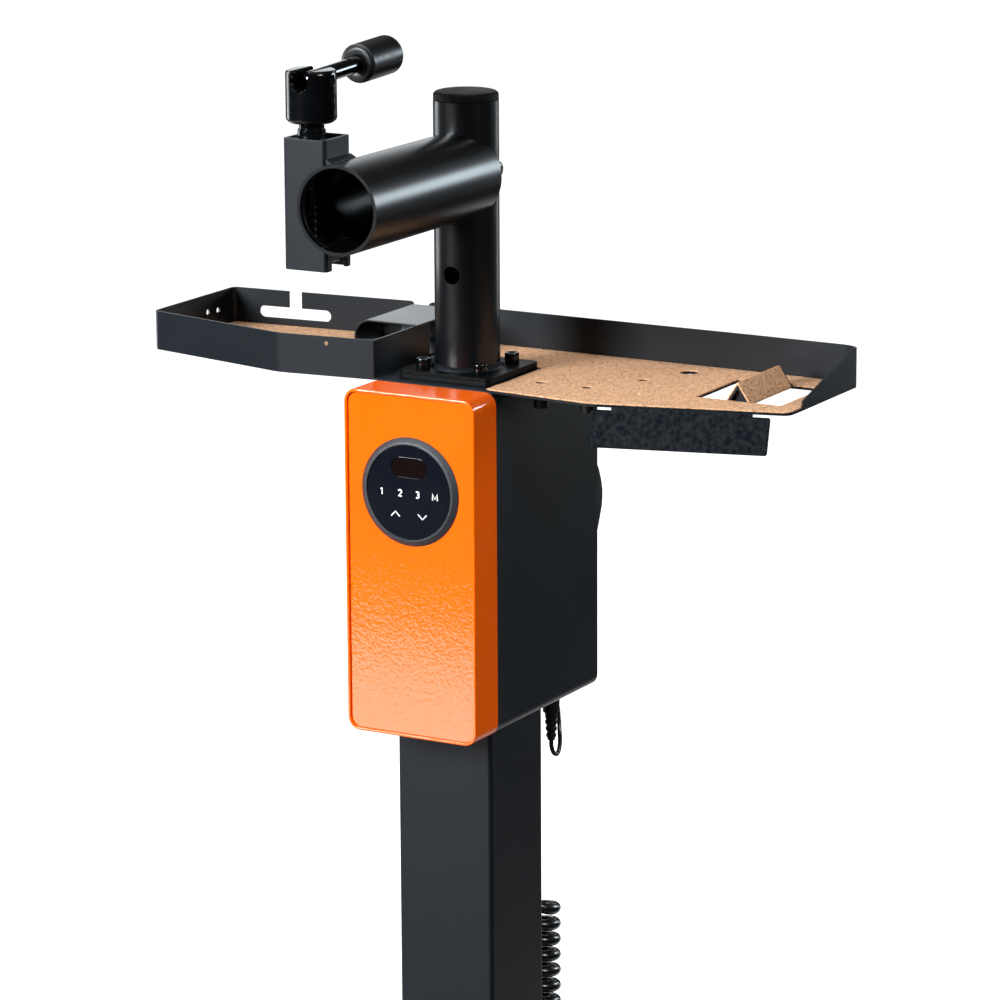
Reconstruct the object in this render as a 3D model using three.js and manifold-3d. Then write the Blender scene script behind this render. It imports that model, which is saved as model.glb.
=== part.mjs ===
// A powered repair stand for bicycles: a heavy base plate, a telescoping square column that a
// motor raises and lowers, a parts tray, and a round socket that grips the arm of a clamp.
// Millimetres, +Z up. The floor is z = 0, the column's axis is x = y = 0 and the socket opens to -Y.

import * as THREE from 'three';
import { mergeVertices } from 'three/addons/utils/BufferGeometryUtils.js';
import Module from 'manifold-3d';

const wasm = await Module();
wasm.setup();

// Driving dimensions. Heights in the head are measured from deckHeight, a plane in the cork on
// the tray's floor, so the head's own group carries that height.
const deckHeight = 883;
const sheet = 1.5;
const fit = 0.3;

const outerWidth = 80;
const middleWidth = 75;
const innerWidth = 70;
const columnWall = 2;
const columnCorner = 3;
const outerBottom = 310;
const middleBottom = 172;
const middleTop = 712;
const innerTop = 560;
const footTop = 18;
const basePlateTop = 10;

const housingHalfWidth = 52.5;
const housingFront = -54.6;
const housingBack = 105;
const housingBottom = -258.8;
const trayUnderside = -2.7;
const housingCorner = 8;

const coverHalfWidth = 54.5;
const coverFront = -87.8;
const coverTop = -0.6;
const coverBottom = -259.1;
const coverCorner = 10;
const coverWall = 2.2;
const panelFront = coverFront + 2;

const dialX = 0;
const dialZ = -73.3;
const dialRadius = 40.6;

const trayFloorTop = -1.2;
const trayWallTop = 27;
const corkTop = 0.1;
const trayBackY = 103;

const postRadius = 24.15;
const postWall = 2.6;
const postBottom = 5;
const postTop = 203.3;
const flangeScrewOffset = 24;

const socketRadius = 32.4;
const socketWall = 2.4;
const socketZ = 148.8;
const socketFront = -184;
const socketBack = -5;

const spindleX = -31;
const spindleY = -165;
const pinZ = 237;
const handleTilt = THREE.MathUtils.degToRad(2.5);
const gripWidth = { left: -46.3, right: -11.3, front: -180, back: -145, bottom: 103, top: 196.7 };
const gripWall = 3;

const cordDiameter = 9;
const cordTurnRadius = 13.5;
const cordPitch = 12.5;
const cordTurns = 27;
const coilX = 20;
const coilY = 68;
const coilTop = -426;
const leadDiameter = 3.5;

// Finishes, from the photograph.
const finishes = {
  blackCoat: { color: 0x17181a, roughness: 0.45, metalness: 0.3 },
  orangeCoat: { color: 0xf26a11, roughness: 0.25, metalness: 0.0 },
  blackPlastic: { color: 0x121315, roughness: 0.5, metalness: 0.0 },
  darkGlass: { color: 0x08090b, roughness: 0.08, metalness: 0.0 },
  cork: { color: 0xc08a5c, roughness: 0.95, metalness: 0.0 },
  blackSteel: { color: 0x1c1d1f, roughness: 0.2, metalness: 0.9 },
  zincSteel: { color: 0x9da0a4, roughness: 0.35, metalness: 1.0 },
  brass: { color: 0xb08d3e, roughness: 0.35, metalness: 1.0 },
  cordRubber: { color: 0x0d0d0f, roughness: 0.35, metalness: 0.0 },
};

// Shapes and solids

function solid(geometry) {
  const bare = geometry.clone();
  bare.deleteAttribute('normal');
  bare.deleteAttribute('uv');
  const merged = mergeVertices(bare, 1e-4);
  const vertProperties = new Float32Array(merged.attributes.position.array);
  const triVerts = new Uint32Array(merged.index.array);
  return new wasm.Manifold(new wasm.Mesh({ numProp: 3, vertProperties, triVerts }));
}

function cut(body, ...tools) {
  return tools.reduce((rest, tool) => rest.subtract(tool), body);
}

function join(first, ...others) {
  return others.reduce((sum, part) => sum.add(part), first);
}

function box(x0, x1, y0, y1, z0, z1) {
  const block = new THREE.BoxGeometry(x1 - x0, y1 - y0, z1 - z0);
  return solid(block.translate((x0 + x1) / 2, (y0 + y1) / 2, (z0 + z1) / 2));
}

function circle(radius, x = 0, y = 0) {
  return new THREE.Shape().absarc(x, y, radius, 0, 2 * Math.PI, false);
}

function roundedRect(x0, x1, y0, y1, radius) {
  const shape = new THREE.Shape();
  shape.absarc(x1 - radius, y0 + radius, radius, -Math.PI / 2, 0, false);
  shape.absarc(x1 - radius, y1 - radius, radius, 0, Math.PI / 2, false);
  shape.absarc(x0 + radius, y1 - radius, radius, Math.PI / 2, Math.PI, false);
  shape.absarc(x0 + radius, y0 + radius, radius, Math.PI, 1.5 * Math.PI, false);
  return shape;
}

function polygon(points) {
  return new THREE.Shape(points.map(([x, y]) => new THREE.Vector2(x, y)));
}

function extrude(shape, depth, curveSegments) {
  return new THREE.ExtrudeGeometry(shape, { depth, bevelEnabled: false, curveSegments });
}

// An upright prism: the shape is drawn in x and y.
function prismZ(shape, z0, z1, segments = 6) {
  return solid(extrude(shape, z1 - z0, segments).translate(0, 0, z0));
}

// A prism along Y: the shape is drawn in x and z.
function prismY(shape, y0, y1, segments = 6) {
  return solid(extrude(shape, y1 - y0, segments).rotateX(Math.PI / 2).translate(0, y1, 0));
}

// A prism along X: the shape is drawn in y and z.
function prismX(shape, x0, x1, segments = 6) {
  const turn = new THREE.Matrix4().makeBasis(
    new THREE.Vector3(0, 1, 0), new THREE.Vector3(0, 0, 1), new THREE.Vector3(1, 0, 0));
  return solid(extrude(shape, x1 - x0, segments).applyMatrix4(turn).translate(x0, 0, 0));
}

// A turned solid about an upright axis: the profile runs bottom to top as radius and height.
function turned(profile, x = 0, y = 0, sides = 36) {
  const points = profile.map(([r, z]) => new THREE.Vector2(r, z));
  const lathe = new THREE.LatheGeometry(points, sides).rotateX(Math.PI / 2);
  return solid(lathe.translate(x, y, 0));
}

// A turned solid whose axis lies along Y, with its profile's heights running towards -Y.
function turnedY(profile, x, y, z, sides = 36) {
  const points = profile.map(([r, h]) => new THREE.Vector2(r, h));
  const lathe = new THREE.LatheGeometry(points, sides).rotateX(Math.PI);
  return solid(lathe.translate(x, y, z));
}

function squareTube(width, z0, z1) {
  const half = width / 2;
  const bore = half - columnWall;
  const outside = prismZ(roundedRect(-half, half, -half, half, columnCorner), z0, z1, 2);
  const innerCorner = columnCorner - columnWall + 0.5;
  return cut(outside, prismZ(roundedRect(-bore, bore, -bore, bore, innerCorner), z0 - 1, z1 + 1, 1));
}

// Rounds the inner corners of an open line of plan points with short arcs.
function softened(points, radius, steps = 3) {
  const line = points.map(([x, y]) => new THREE.Vector2(x, y));
  const result = [line[0]];
  for (let i = 1; i < line.length - 1; i += 1) {
    const before = line[i - 1].clone().sub(line[i]);
    const after = line[i + 1].clone().sub(line[i]);
    const reach = Math.min(radius, before.length() / 3, after.length() / 3);
    const bend = new THREE.QuadraticBezierCurve(
      line[i].clone().add(before.setLength(reach)), line[i], line[i].clone().add(after.setLength(reach)));
    result.push(...bend.getPoints(steps));
  }
  result.push(line[line.length - 1]);
  return result;
}

// A strip of sheet standing on a line of plan points, with its thickness on the line's left.
function strip(line, thickness) {
  const inner = line.map((point, i) => {
    const back = i > 0 ? point.clone().sub(line[i - 1]).normalize() : null;
    const on = i < line.length - 1 ? line[i + 1].clone().sub(point).normalize() : null;
    const way = (back && on) ? back.clone().add(on).normalize() : (back || on).clone();
    const stretch = back && on ? 1 / Math.max(0.5, way.dot(on)) : 1;
    return new THREE.Vector2(-way.y, way.x).multiplyScalar(thickness * stretch).add(point);
  });
  return new THREE.Shape([...line, ...inner.reverse()]);
}

// The base, which the photograph doesn't show

function basePlate() {
  return prismZ(roundedRect(-290, 290, -430, 210, 45), 0, basePlateTop, 4);
}

function columnFoot() {
  return prismZ(roundedRect(-66, 66, -66, 66, 10), basePlateTop, footTop, 2);
}

function footBolt(x, y) {
  return turned([[0, footTop], [8, footTop], [8, footTop + 7], [6.5, footTop + 8.5], [0, footTop + 8.5]], x, y, 16);
}

const powerBoxTop = 52;
const glandTop = powerBoxTop + 14;
const cordEnd = new THREE.Vector3(coilX, coilY + cordTurnRadius, glandTop);

// The box behind the foot takes the mains inlet in its rear face and the spiral cord on top.
function powerBox() {
  const shell = prismZ(roundedRect(-25, 65, 69, 131, 6), basePlateTop, powerBoxTop, 2);
  const inlet = box(4, 36, 119, 132, 20, 44);
  const gland = turned([[0, powerBoxTop - 1], [9.5, powerBoxTop - 1], [9.5, powerBoxTop + 5],
    [7, glandTop - fit], [0, glandTop - fit]], cordEnd.x, cordEnd.y, 12);
  return join(cut(shell, inlet), gland);
}

// The telescoping column

function innerTube() {
  return squareTube(innerWidth, footTop, innerTop);
}

function liftNut() {
  const plate = prismZ(roundedRect(-34.5, 34.5, -34.5, 34.5, 3), innerTop, innerTop + 8, 1);
  const boss = turned([[0, innerTop - 26], [16, innerTop - 26], [16, innerTop], [0, innerTop]], 0, 0, 24);
  return cut(join(plate, boss), prismZ(circle(10.2), innerTop - 30, innerTop + 10, 12));
}

function middleTube() {
  return squareTube(middleWidth, middleBottom, middleTop);
}

function mouthRing(outside, inside, z0, z1) {
  const shell = prismZ(roundedRect(-outside, outside, -outside, outside, 4), z0, z1, 2);
  return cut(shell, prismZ(roundedRect(-inside, inside, -inside, inside, 3), z0 - 1, z1 + 1, 1));
}

// The hollow screw hangs from a plate on the middle tube and runs through the nut below it.
function screwSleeve() {
  const plate = prismZ(roundedRect(-37, 37, -37, 37, 3), middleTop, middleTop + 6, 1);
  const stem = prismZ(circle(10), 332, middleTop + 1, 12);
  return cut(join(plate, stem), prismZ(circle(6.15), 320, middleTop + 10, 12));
}

function outerTube() {
  const tube = squareTube(outerWidth, outerBottom - deckHeight, -9);
  const gearWindow = box(-31, 31, 30, 50, -24, -8);
  const leadWindow = box(-10, 10, -45, -30, -140, -120);
  return cut(tube, gearWindow, leadWindow);
}

function columnTopPlate() {
  const plate = prismZ(roundedRect(-40, 40, -40, 40, columnCorner), -9, trayUnderside, 1);
  return cut(plate, ...flangeHoles(4.4, -10, trayUnderside + 1));
}

function liftGearbox() {
  const around = new THREE.Shape();
  around.absarc(0, 0, 27, Math.PI, 2 * Math.PI, false);
  around.absarc(0, 68, 27, 0, Math.PI, false);
  const bore = prismZ(circle(6.3), -30, -12);
  const screwClearance = flangeHoles(6, -17, -8);
  return cut(prismZ(around, -21, -9, 6), bore, ...screwClearance);
}

function liftMotor() {
  const shaftEnd = 68;
  return turned([[0, -152], [14, -152], [14, -146], [26, -146], [26, -30], [20, -21], [0, -21]], 0, shaftEnd, 24);
}

function liftScrew() {
  return turned([[0, 490 - deckHeight], [6, 492 - deckHeight], [6, -13], [0, -13]], 0, 0, 24);
}

// The housing and its orange cover

function housingSection(inset) {
  return roundedRect(-housingHalfWidth + inset, housingHalfWidth - inset,
    housingBottom + inset, trayUnderside - inset, housingCorner - inset);
}

const leadSocket = { x: 35, y: 63 };
const cordGlandX = 8;
const cordGlandY = 64;

function housingShell() {
  const outside = prismY(housingSection(0), housingFront, housingBack, 4);
  const hollow = prismY(housingSection(sheet), housingFront + sheet, housingBack + 1, 4);
  const columnHole = box(-40.3, 40.3, -40.3, 40.3, -270, 5);
  const wireHole = prismY(circle(8, 0, -130), -60, -50);
  const socketHole = prismZ(circle(6, leadSocket.x, leadSocket.y), -262, -250);
  const glandHole = prismZ(circle(6, cordGlandX, cordGlandY), -262, -250);
  return cut(outside, hollow, columnHole, wireHole, socketHole, glandHole);
}

const panelBack = housingBack + 2.5;
const leadEntry = { x: 44, z: -110 };

function rearPanel() {
  const plate = prismY(housingSection(1), housingBack, panelBack, 4);
  return cut(plate, prismY(circle(5, leadEntry.x, leadEntry.z), housingBack - 2, panelBack + 2));
}

function coverSection(inset) {
  return roundedRect(-coverHalfWidth + inset, coverHalfWidth - inset,
    coverBottom + inset, coverTop - inset, coverCorner - inset);
}

// The cover is a deep frame of sheet steel, closed by a panel set a little behind its rim.
function coverFrame() {
  const body = prismY(coverSection(0), coverFront, housingFront, 4);
  return cut(body, prismY(coverSection(coverWall), coverFront - 1, housingFront + 1, 4));
}

function coverPanel() {
  const plate = prismY(coverSection(coverWall + 0.1), panelFront, panelFront + 2, 4);
  return cut(plate, prismY(circle(32, dialX, dialZ), panelFront - 1, panelFront + 6, 12));
}

// The touch control: a ring, a flat face that fills it, and a display let into the face.
function controlBezel() {
  const profile = [[35, 0], [dialRadius, 0], [dialRadius, 0.4], [36.8, 3.4], [35, 3.4], [35, 0]];
  return turnedY(profile, dialX, panelFront, dialZ, 48);
}

function pill(radiusX, radiusZ, centreX, centreZ) {
  return roundedRect(centreX - radiusX, centreX + radiusX, centreZ - radiusZ, centreZ + radiusZ, radiusZ - 0.1);
}

const displayX = 0.4;
const displayZ = -54.9;

function controlFace() {
  const face = turnedY([[0, -14], [31.6, -14], [31.6, 0], [34.8, 0], [34.8, 2.4], [0, 2.4]],
    dialX, panelFront, dialZ, 40);
  const recess = prismY(pill(15.2, 7.7, displayX, displayZ), panelFront - 4, panelFront - 1.6, 4);
  return cut(face, recess);
}

function displayWindow() {
  return prismY(pill(14.9, 7.4, displayX, displayZ), panelFront - 2, panelFront - 1.6, 4);
}

function controlBox() {
  return prismY(roundedRect(-34, 34, -232, -140, 5), -78, housingFront, 1);
}

// The parts tray, one bent sheet

const leftFront = [[-131, -53.6], [-261, -23.6]];
const rightFront = [[44, -46.7], [129.8, -54.4], [271.8, -17.2]];

function trayOutline() {
  const points = [[-53, -45.8], [-42, -46.5], [40, -46.5], ...rightFront, [272.2, 4], [272, 97], [262, 101.5],
    [181, trayBackY], [-91, trayBackY], [-104, 101.3], [-197, 93], [-260, 88], [-261, -23.6], [-131, -53.6]];
  return new THREE.Shape(closedLoop(points, 6));
}

function closedLoop(points, radius) {
  const middle = [(points[0][0] + points[points.length - 1][0]) / 2, (points[0][1] + points[points.length - 1][1]) / 2];
  return softened([middle, ...points, middle], radius).slice(0, -1);
}

function leftWalls() {
  const line = softened([[-53, 36], [-53, -42], [-53, -45.8], [-57, -46.2], ...leftFront, [-260, 88], [-197, 93],
    [-104, 101.3]], 5);
  const walls = prismZ(strip(line, -sheet), trayUnderside, trayWallTop);
  const slotGap = box(-210.8, -199.6, 80, 104, 14, 27.5);
  const slot = prismY(roundedRect(-236.5, -174.6, 5.2, 14.1, 4.4), 80, 104, 4);
  const endHoles = [[49.3, 13.2], [63.6, 12.4]].map(([y, z]) => prismX(circle(2.5, y, z), -266, -254, 4));
  const frontHole = prismY(circle(2, -92.3, 21.8), -58, -42, 3);
  return cut(walls, slotGap, slot, frontHole, ...endHoles, cornerCutter(-104, -1));
}

// Takes the top corner off the end of a back wall in a quarter round.
function cornerCutter(x, side) {
  const radius = 3.5;
  const z = trayWallTop;
  const corner = new THREE.Shape();
  corner.moveTo(x - side, z + 1);
  corner.lineTo(x - side, z - radius);
  corner.lineTo(x, z - radius);
  if (side < 0) {
    corner.absarc(x - radius, z - radius, radius, 0, Math.PI / 2, false);
  } else {
    corner.absarc(x + radius, z - radius, radius, Math.PI, Math.PI / 2, true);
  }
  corner.lineTo(x + side * radius, z + 1);
  return prismY(corner, 92, 108, 3);
}

function rightWalls() {
  const line = softened([[-92, trayBackY], [181, trayBackY], [262, 101.5], [272, 97], [272.2, 5]], 9);
  const walls = prismZ(strip(line, -sheet), trayUnderside, trayWallTop);
  const slope = prismX(polygon([[-5, 1], [5, 4], [88, trayWallTop], [88, 40], [-5, 40]]), 264, 280);
  return cut(walls, slope, cornerCutter(-92, 1));
}

// A ridge of folded sheet in the middle of the tray's right part, with cork on both slopes.
const ridge = { x: 221.6, top: 14.1, halfWidth: 9.9, foot: -1, front: 1.1, back: 70.3 };
const corkThickness = 1.4;

// The ridge's outline at a depth below the cork's outer face, closed along a level underneath.
function ridgeShape(depth, level) {
  const slope = Math.atan2(ridge.top - ridge.foot, ridge.halfWidth);
  const half = ridge.halfWidth - depth / Math.sin(slope);
  const top = ridge.top - depth / Math.cos(slope);
  const left = ridge.x - half;
  const right = ridge.x + half;
  return polygon([[left, level], [right, level], [right, ridge.foot], [ridge.x, top], [left, ridge.foot]]);
}

// Two windows leave a strip between them, and the strip is bent up into a ridge.
const windows = { left: 188.2, right: 256.5, front: 0.8, back: 69.3 };

function trayOpenings() {
  const left = box(windows.left, ridge.x - 7, windows.front, windows.back, -10, 5);
  const right = box(ridge.x + 7, windows.right, windows.front, windows.back, -10, 5);
  return [left, right];
}

const smallHoles = [[146.2, -10.2], [72.5, 74], [154.2, 95.6]];
const sleevePlaces = [[65.6, -7.3], [104, -7]];

function trayHoles(z0, z1) {
  const small = smallHoles.map(([x, y]) => prismZ(circle(2.4, x, y), z0, z1, 3));
  const tool = [...sleevePlaces, [127.7, 35.4]].map(([x, y]) => prismZ(circle(4, x, y), z0, z1, 4));
  const wide = prismZ(circle(7, 145.7, 75.3), z0, z1, 6);
  return [...small, ...tool, wide];
}

function flangeHoles(radius, z0, z1) {
  const places = [[-1, -1], [1, -1], [1, 1], [-1, 1]];
  return places.map(([i, j]) =>
    prismZ(circle(radius, i * flangeScrewOffset, j * flangeScrewOffset), z0, z1, 4));
}

function tray() {
  const floor = cut(prismZ(trayOutline(), trayUnderside, trayFloorTop, 4), ...trayOpenings(),
    ...trayHoles(-10, 5), ...flangeHoles(4.4, -10, 5));
  const folded = prismY(ridgeShape(corkThickness + 0.1, trayUnderside), ridge.front, ridge.back + 3);
  const hollow = prismY(ridgeShape(corkThickness + 0.1 + sheet, trayFloorTop), ridge.front - 1, ridge.front + 4);
  return join(floor, cut(folded, hollow), leftWalls(), rightWalls());
}

function corkLeft() {
  const points = [[-55.1, -44], [-131.1, -51.6], [-258.8, -22.1], [-257.9, 85.9], [-197, 90.9], [-107, 98.6], [-107, 82],
    [-55.1, 82]];
  const mat = prismZ(new THREE.Shape(closedLoop(points, 4)), trayFloorTop, corkTop, 2);
  return cut(mat, box(-112, -50, 10, 84.5, -2, 2));
}

function corkRight() {
  const points = [[41.3, -43], [41.3, -46.3], [45, -46.5], [129.8, -54.1], [271.2, -17], [271.6, 3], [269.9, 6],
    [269, 90], [258.5, 99.1], [181, 101], [-49, 101], [-49, 40], [41.3, 40]];
  const mat = prismZ(new THREE.Shape(closedLoop(points, 5)), trayFloorTop, corkTop, 2);
  const opening = box(windows.left, windows.right, ridge.front - fit, windows.back, -2, 2);
  const reach = ridge.halfWidth + fit;
  const ridgeEnd = box(ridge.x - reach, ridge.x + reach, 60, ridge.back + 3 + fit, -2, 2);
  return cut(mat, opening, ridgeEnd, ...trayHoles(-10, 5));
}

// The cork on the ridge's two slopes is one folded strip, long enough to cover the sheet's edges.
function corkRidge() {
  const cover = prismY(ridgeShape(0, trayUnderside + 0.1), ridge.front, ridge.back - 0.5);
  const under = prismY(ridgeShape(corkThickness, trayUnderside - 1), ridge.front - 1, ridge.back + 1);
  const end = box(205, 240, windows.back - 0.1, ridge.back + 4, trayUnderside - 1, trayFloorTop + 0.1);
  return cut(cover, under, end);
}

// The magnet bar is bent down from the tray's angled front edge by a web shorter than itself, so
// a slot shows at each end of the web. Its right end is cut at a slant.
function magnetBar() {
  const from = new THREE.Vector2(131.6, -53.8);
  const along = new THREE.Vector2(257.6, -20.8).sub(from);
  const length = along.length();
  const face = polygon([[0, -32.8], [length - 2.4, -32.8], [length, -7], [length - 1.2, -5.8], [0, -5.8]]);
  const web = box(14.9, 118, 0, 3, -6, trayUnderside);
  const turn = THREE.MathUtils.radToDeg(along.angle());
  return join(prismY(face, 0, 6), web).rotate([0, 0, turn]).translate([from.x, from.y, 0]);
}

// The bracket is a strip of sheet bent into a C: it lies on the inner wall and stands on the floor.
const bracket = { left: -106, right: -50.4, front: 14, back: 84, bend: 13.5 };

function trayBracket() {
  const centreX = bracket.left + bracket.bend;
  const centreZ = trayWallTop + sheet - bracket.bend;
  const outline = new THREE.Shape();
  outline.moveTo(bracket.right, trayWallTop);
  outline.lineTo(bracket.right, trayWallTop + sheet);
  outline.absarc(centreX, centreZ, bracket.bend, Math.PI / 2, Math.PI, false);
  outline.absarc(centreX, trayFloorTop + bracket.bend, bracket.bend, Math.PI, 1.5 * Math.PI, false);
  outline.lineTo(-58, trayFloorTop);
  outline.lineTo(-58, trayFloorTop + sheet);
  outline.absarc(centreX, trayFloorTop + bracket.bend, bracket.bend - sheet, 1.5 * Math.PI, Math.PI, true);
  outline.absarc(centreX, centreZ, bracket.bend - sheet, Math.PI, Math.PI / 2, true);
  const screws = bracketScrewPlaces.map(([x, y]) => prismZ(circle(2.3, x, y), -3, 3, 3));
  return cut(prismY(outline, bracket.front, bracket.back, 4), ...screws);
}

const bracketScrewPlaces = [[-76, 32], [-76, 66]];

function bracketScrew([x, y]) {
  const top = trayFloorTop + sheet;
  return turned([[0, trayFloorTop], [2, trayFloorTop], [2, top], [4.5, top], [4.5, top + 1.5], [3, top + 2.8],
    [0, top + 2.8]], x, y, 12);
}

function toolSleeve([x, y]) {
  return turned([[3.6, -19], [5, -19], [5.6, -17], [5.6, trayUnderside], [3.6, trayUnderside], [3.6, -19]], x, y, 16);
}

// The post on its flange

function flangePlate(z0, z1) {
  const plate = prismZ(roundedRect(-38, 38.7, -37, 39, 4), z0, z1, 3);
  return cut(plate, ...flangeHoles(4.4, z0 - 1, z1 + 1));
}

function flangeScrew(i, j) {
  const head = 5;
  const screw = turned([[0, -9], [4, -9], [4, head], [5.4, head], [5.4, head + 7], [4.8, head + 8], [0, head + 8]],
    i * flangeScrewOffset, j * flangeScrewOffset, 16);
  const key = circle(2.9, i * flangeScrewOffset, j * flangeScrewOffset);
  return cut(screw, prismZ(key, head + 3.5, head + 10, 3));
}

function post() {
  const bore = postRadius - postWall;
  const weld = 3;
  const tube = turned([[0, postBottom], [postRadius + weld, postBottom], [postRadius + weld * 0.45, postBottom + weld * 0.45],
    [postRadius, postBottom + weld], [postRadius, postTop], [0, postTop]], 0, 0, 40);
  const crossHole = prismY(circle(6.75, 0, 76.3), -40, 40, 8);
  const boltHole = prismX(circle(4.4, 3, 153), 10, 40, 4);
  return cut(tube, prismZ(circle(bore), postBottom - 1, postTop + 1, 12), crossHole, boltHole);
}

function postCap() {
  const plug = postRadius - postWall - fit;
  const rim = postRadius + 0.2;
  return turned([[0, postTop - 14], [plug - 1, postTop - 14], [plug, postTop - 12], [plug, postTop],
    [rim, postTop], [rim, postTop + 4.2], [rim - 1.8, postTop + 6.3], [0, postTop + 6.5]], 0, 0, 36);
}

function crossBolt() {
  const headX = postRadius + 0.4;
  const profile = [[0, 14], [4, 14], [4, headX], [6, headX], [5.6, headX + 1.4], [3.6, headX + 2.6], [0, headX + 3]];
  const lathe = new THREE.LatheGeometry(profile.map(([r, x]) => new THREE.Vector2(r, x)), 16);
  return solid(lathe.rotateZ(-Math.PI / 2).translate(0, 3, 153));
}

// The socket and the wedge grip that locks the clamp's arm in it

function clampTube() {
  const ring = circle(socketRadius, 0, socketZ);
  const bore = circle(socketRadius - socketWall, 0, socketZ);
  const tube = cut(prismY(ring, socketFront, socketBack, 18), prismY(bore, socketFront - 1, socketBack + 1, 18));
  const postNotch = prismZ(circle(postRadius + fit), 100, 190, 18);
  const { left, right, front, back } = gripWidth;
  const gripSlot = box(left - fit, right + fit, front - fit, back + fit, 100, 200);
  return cut(tube, postNotch, gripSlot);
}

function wedgeHousing() {
  const { left, right, front, back, bottom, top } = gripWidth;
  const outside = prismZ(roundedRect(left, right, front, back, 3), bottom, top, 2);
  const inside = roundedRect(left + gripWall, right - gripWall, front + gripWall, back - gripWall, 1);
  const bore = prismY(circle(socketRadius - socketWall, 0, socketZ), front - 5, back + 5, 18);
  const notch = box(right - gripWall - 1, right + 1, -172, -152, bottom - 1, bottom + 7);
  return cut(outside, prismZ(inside, bottom - 1, top + 1, 1), bore, notch);
}

// A small welded fillet fills the corner between the grip's housing and the top of the socket.
function saddleGusset() {
  const near = gripWidth.right + fit;
  const lump = prismY(polygon([[near, 176], [-6.5, 176], [-6.5, 181], [near, 183.5]]), -179.5, -145.5);
  return cut(lump, prismY(circle(socketRadius + 0.1, 0, socketZ), -190, -130, 18));
}

const armRadius = 29.6;
const wedgeTravel = 4;

function wedge(z0, z1, lift) {
  const { left, right, front, back } = gripWidth;
  const gap = gripWall + 0.4;
  const block = prismZ(roundedRect(left + gap, right - gap, front + gap, back - gap, 1.2), z0, z1, 2);
  const screwHole = prismZ(circle(7.2, spindleX, spindleY), z0 - 1, z1 + 1, 9);
  const arm = prismY(circle(armRadius, 0, socketZ + lift), front - 5, back + 5, 9);
  return cut(block, screwHole, arm);
}

function clampSpindle() {
  const turning = turned([[0, 107], [6.9, 107], [6.9, 195.7], [10, 195.7], [10, 202], [9, 202.6], [9, 206.5],
    [15.6, 206.7], [18.1, 209.6], [18.1, 242], [15.9, 244.2], [0, 244.2]], 0, 0, 28);
  const slot = prismY(forkSlot(), -30, 30, 6);
  const pinBore = prismX(circle(3.3, 0, pinZ), -14, 14, 5);
  return cut(turning, slot, pinBore);
}

// A slot with a full round bottom.
function forkSlot() {
  const half = 7.8;
  const shape = new THREE.Shape();
  shape.moveTo(half, 250);
  shape.lineTo(-half, 250);
  shape.absarc(0, pinZ + 0.4, half, Math.PI, 2 * Math.PI, false);
  return shape;
}

// The handle is made about its pin, lying along +Y, and its group tilts it.
function handlePin() {
  return prismX(circle(3, 0, 0), -13.7, 13.7, 5);
}

function handleRod() {
  const profile = [[0, -6], [3, -5.2], [5.2, -3], [6, 0], [6, 62.6], [0, 62.6]];
  const lathe = new THREE.LatheGeometry(profile.map(([r, h]) => new THREE.Vector2(r, h)), 16);
  return cut(solid(lathe), prismX(circle(3.08), -8, 8, 5));
}

function handleKnob() {
  const radius = 14.25;
  const near = 63;
  const length = 44.5;
  const profile = [[6.1, 0], [11.5, 0], [radius, 2.2], [radius, length - 3], [radius - 3, length], [0, length], [0, 12],
    [6.1, 12], [6.1, 0]];
  const lathe = new THREE.LatheGeometry(profile.map(([r, h]) => new THREE.Vector2(r, h)), 24);
  return solid(lathe.translate(0, near, 0));
}

// Cables. The short lead goes from the plug under the housing to a cowl on its rear panel.

const plugBottom = -294;

function leadPlug() {
  const { x, y } = leadSocket;
  const ribs = [];
  for (let rib = 0; rib < 3; rib += 1) {
    const z = plugBottom + 2 + rib * 5.2;
    const grow = rib * 0.45;
    ribs.push([3.2 + grow, z], [4 + grow, z + 0.6], [4 + grow, z + 2.6], [3.2 + grow, z + 3.2]);
  }
  return turned([[0, plugBottom], [3, plugBottom], ...ribs, [4.8, -276], [5, -272.4], [6.5, -271.8],
    [6.8, housingBottom - fit], [5.6, housingBottom - fit], [5.6, -250], [0, -250]], x, y, 14);
}

// The cowl is a hump with a socket in its lower end, and a stem through the rear panel.
function leadRearGland() {
  const hump = prismX(polygon([[panelBack, -143], [panelBack + 3.2, -138], [panelBack + 7.2, -128.5],
    [panelBack + 10.2, -120.6], [panelBack + 11.2, -114], [panelBack + 11.2, -108], [panelBack + 9.5, -100.8],
    [panelBack + 5.7, -91.3], [panelBack + 2.7, -86.5], [panelBack, -81]]), 39, 50);
  const socket = prismZ(circle(3.2, leadEntry.x, panelBack + 3.8), -147, -128, 8);
  const stem = prismY(circle(4.6, leadEntry.x, leadEntry.z), housingBack - 3, panelBack + 1, 6);
  return join(hump, socket, stem);
}

// The route's points, chosen by hand, from the plug to the cowl's socket.
const leadRoute = [[35, 63, -294.3], [34.6, 63.8, -299], [34.7, 67, -305.4], [35.2, 72, -307.6], [35, 76.5, -301.6],
  [33.2, 79.5, -291], [29.6, 85, -281.5], [24, 93.5, -277.5], [18, 102, -275.5], [13.4, 109, -270],
  [11.4, 111.8, -257], [11.4, 111.8, -238], [14.5, 111.6, -214], [21.5, 111.4, -192], [32, 111.3, -173],
  [41, 111.3, -159], [43.8, 111.3, -151], [44, 111.3, -147.3]];

function leadCable() {
  const curve = new THREE.CatmullRomCurve3(leadRoute.map((p) => new THREE.Vector3(...p)));
  const section = polygon(Array.from({ length: 8 }, (_, i) => [
    leadDiameter / 2 * Math.cos(i * Math.PI / 4), leadDiameter / 2 * Math.sin(i * Math.PI / 4)]));
  console.log(`Short lead, length ${curve.getLength().toFixed(0)} mm`);
  return solid(new THREE.ExtrudeGeometry(section, { steps: 46, extrudePath: curve, bevelEnabled: false }));
}

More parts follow.
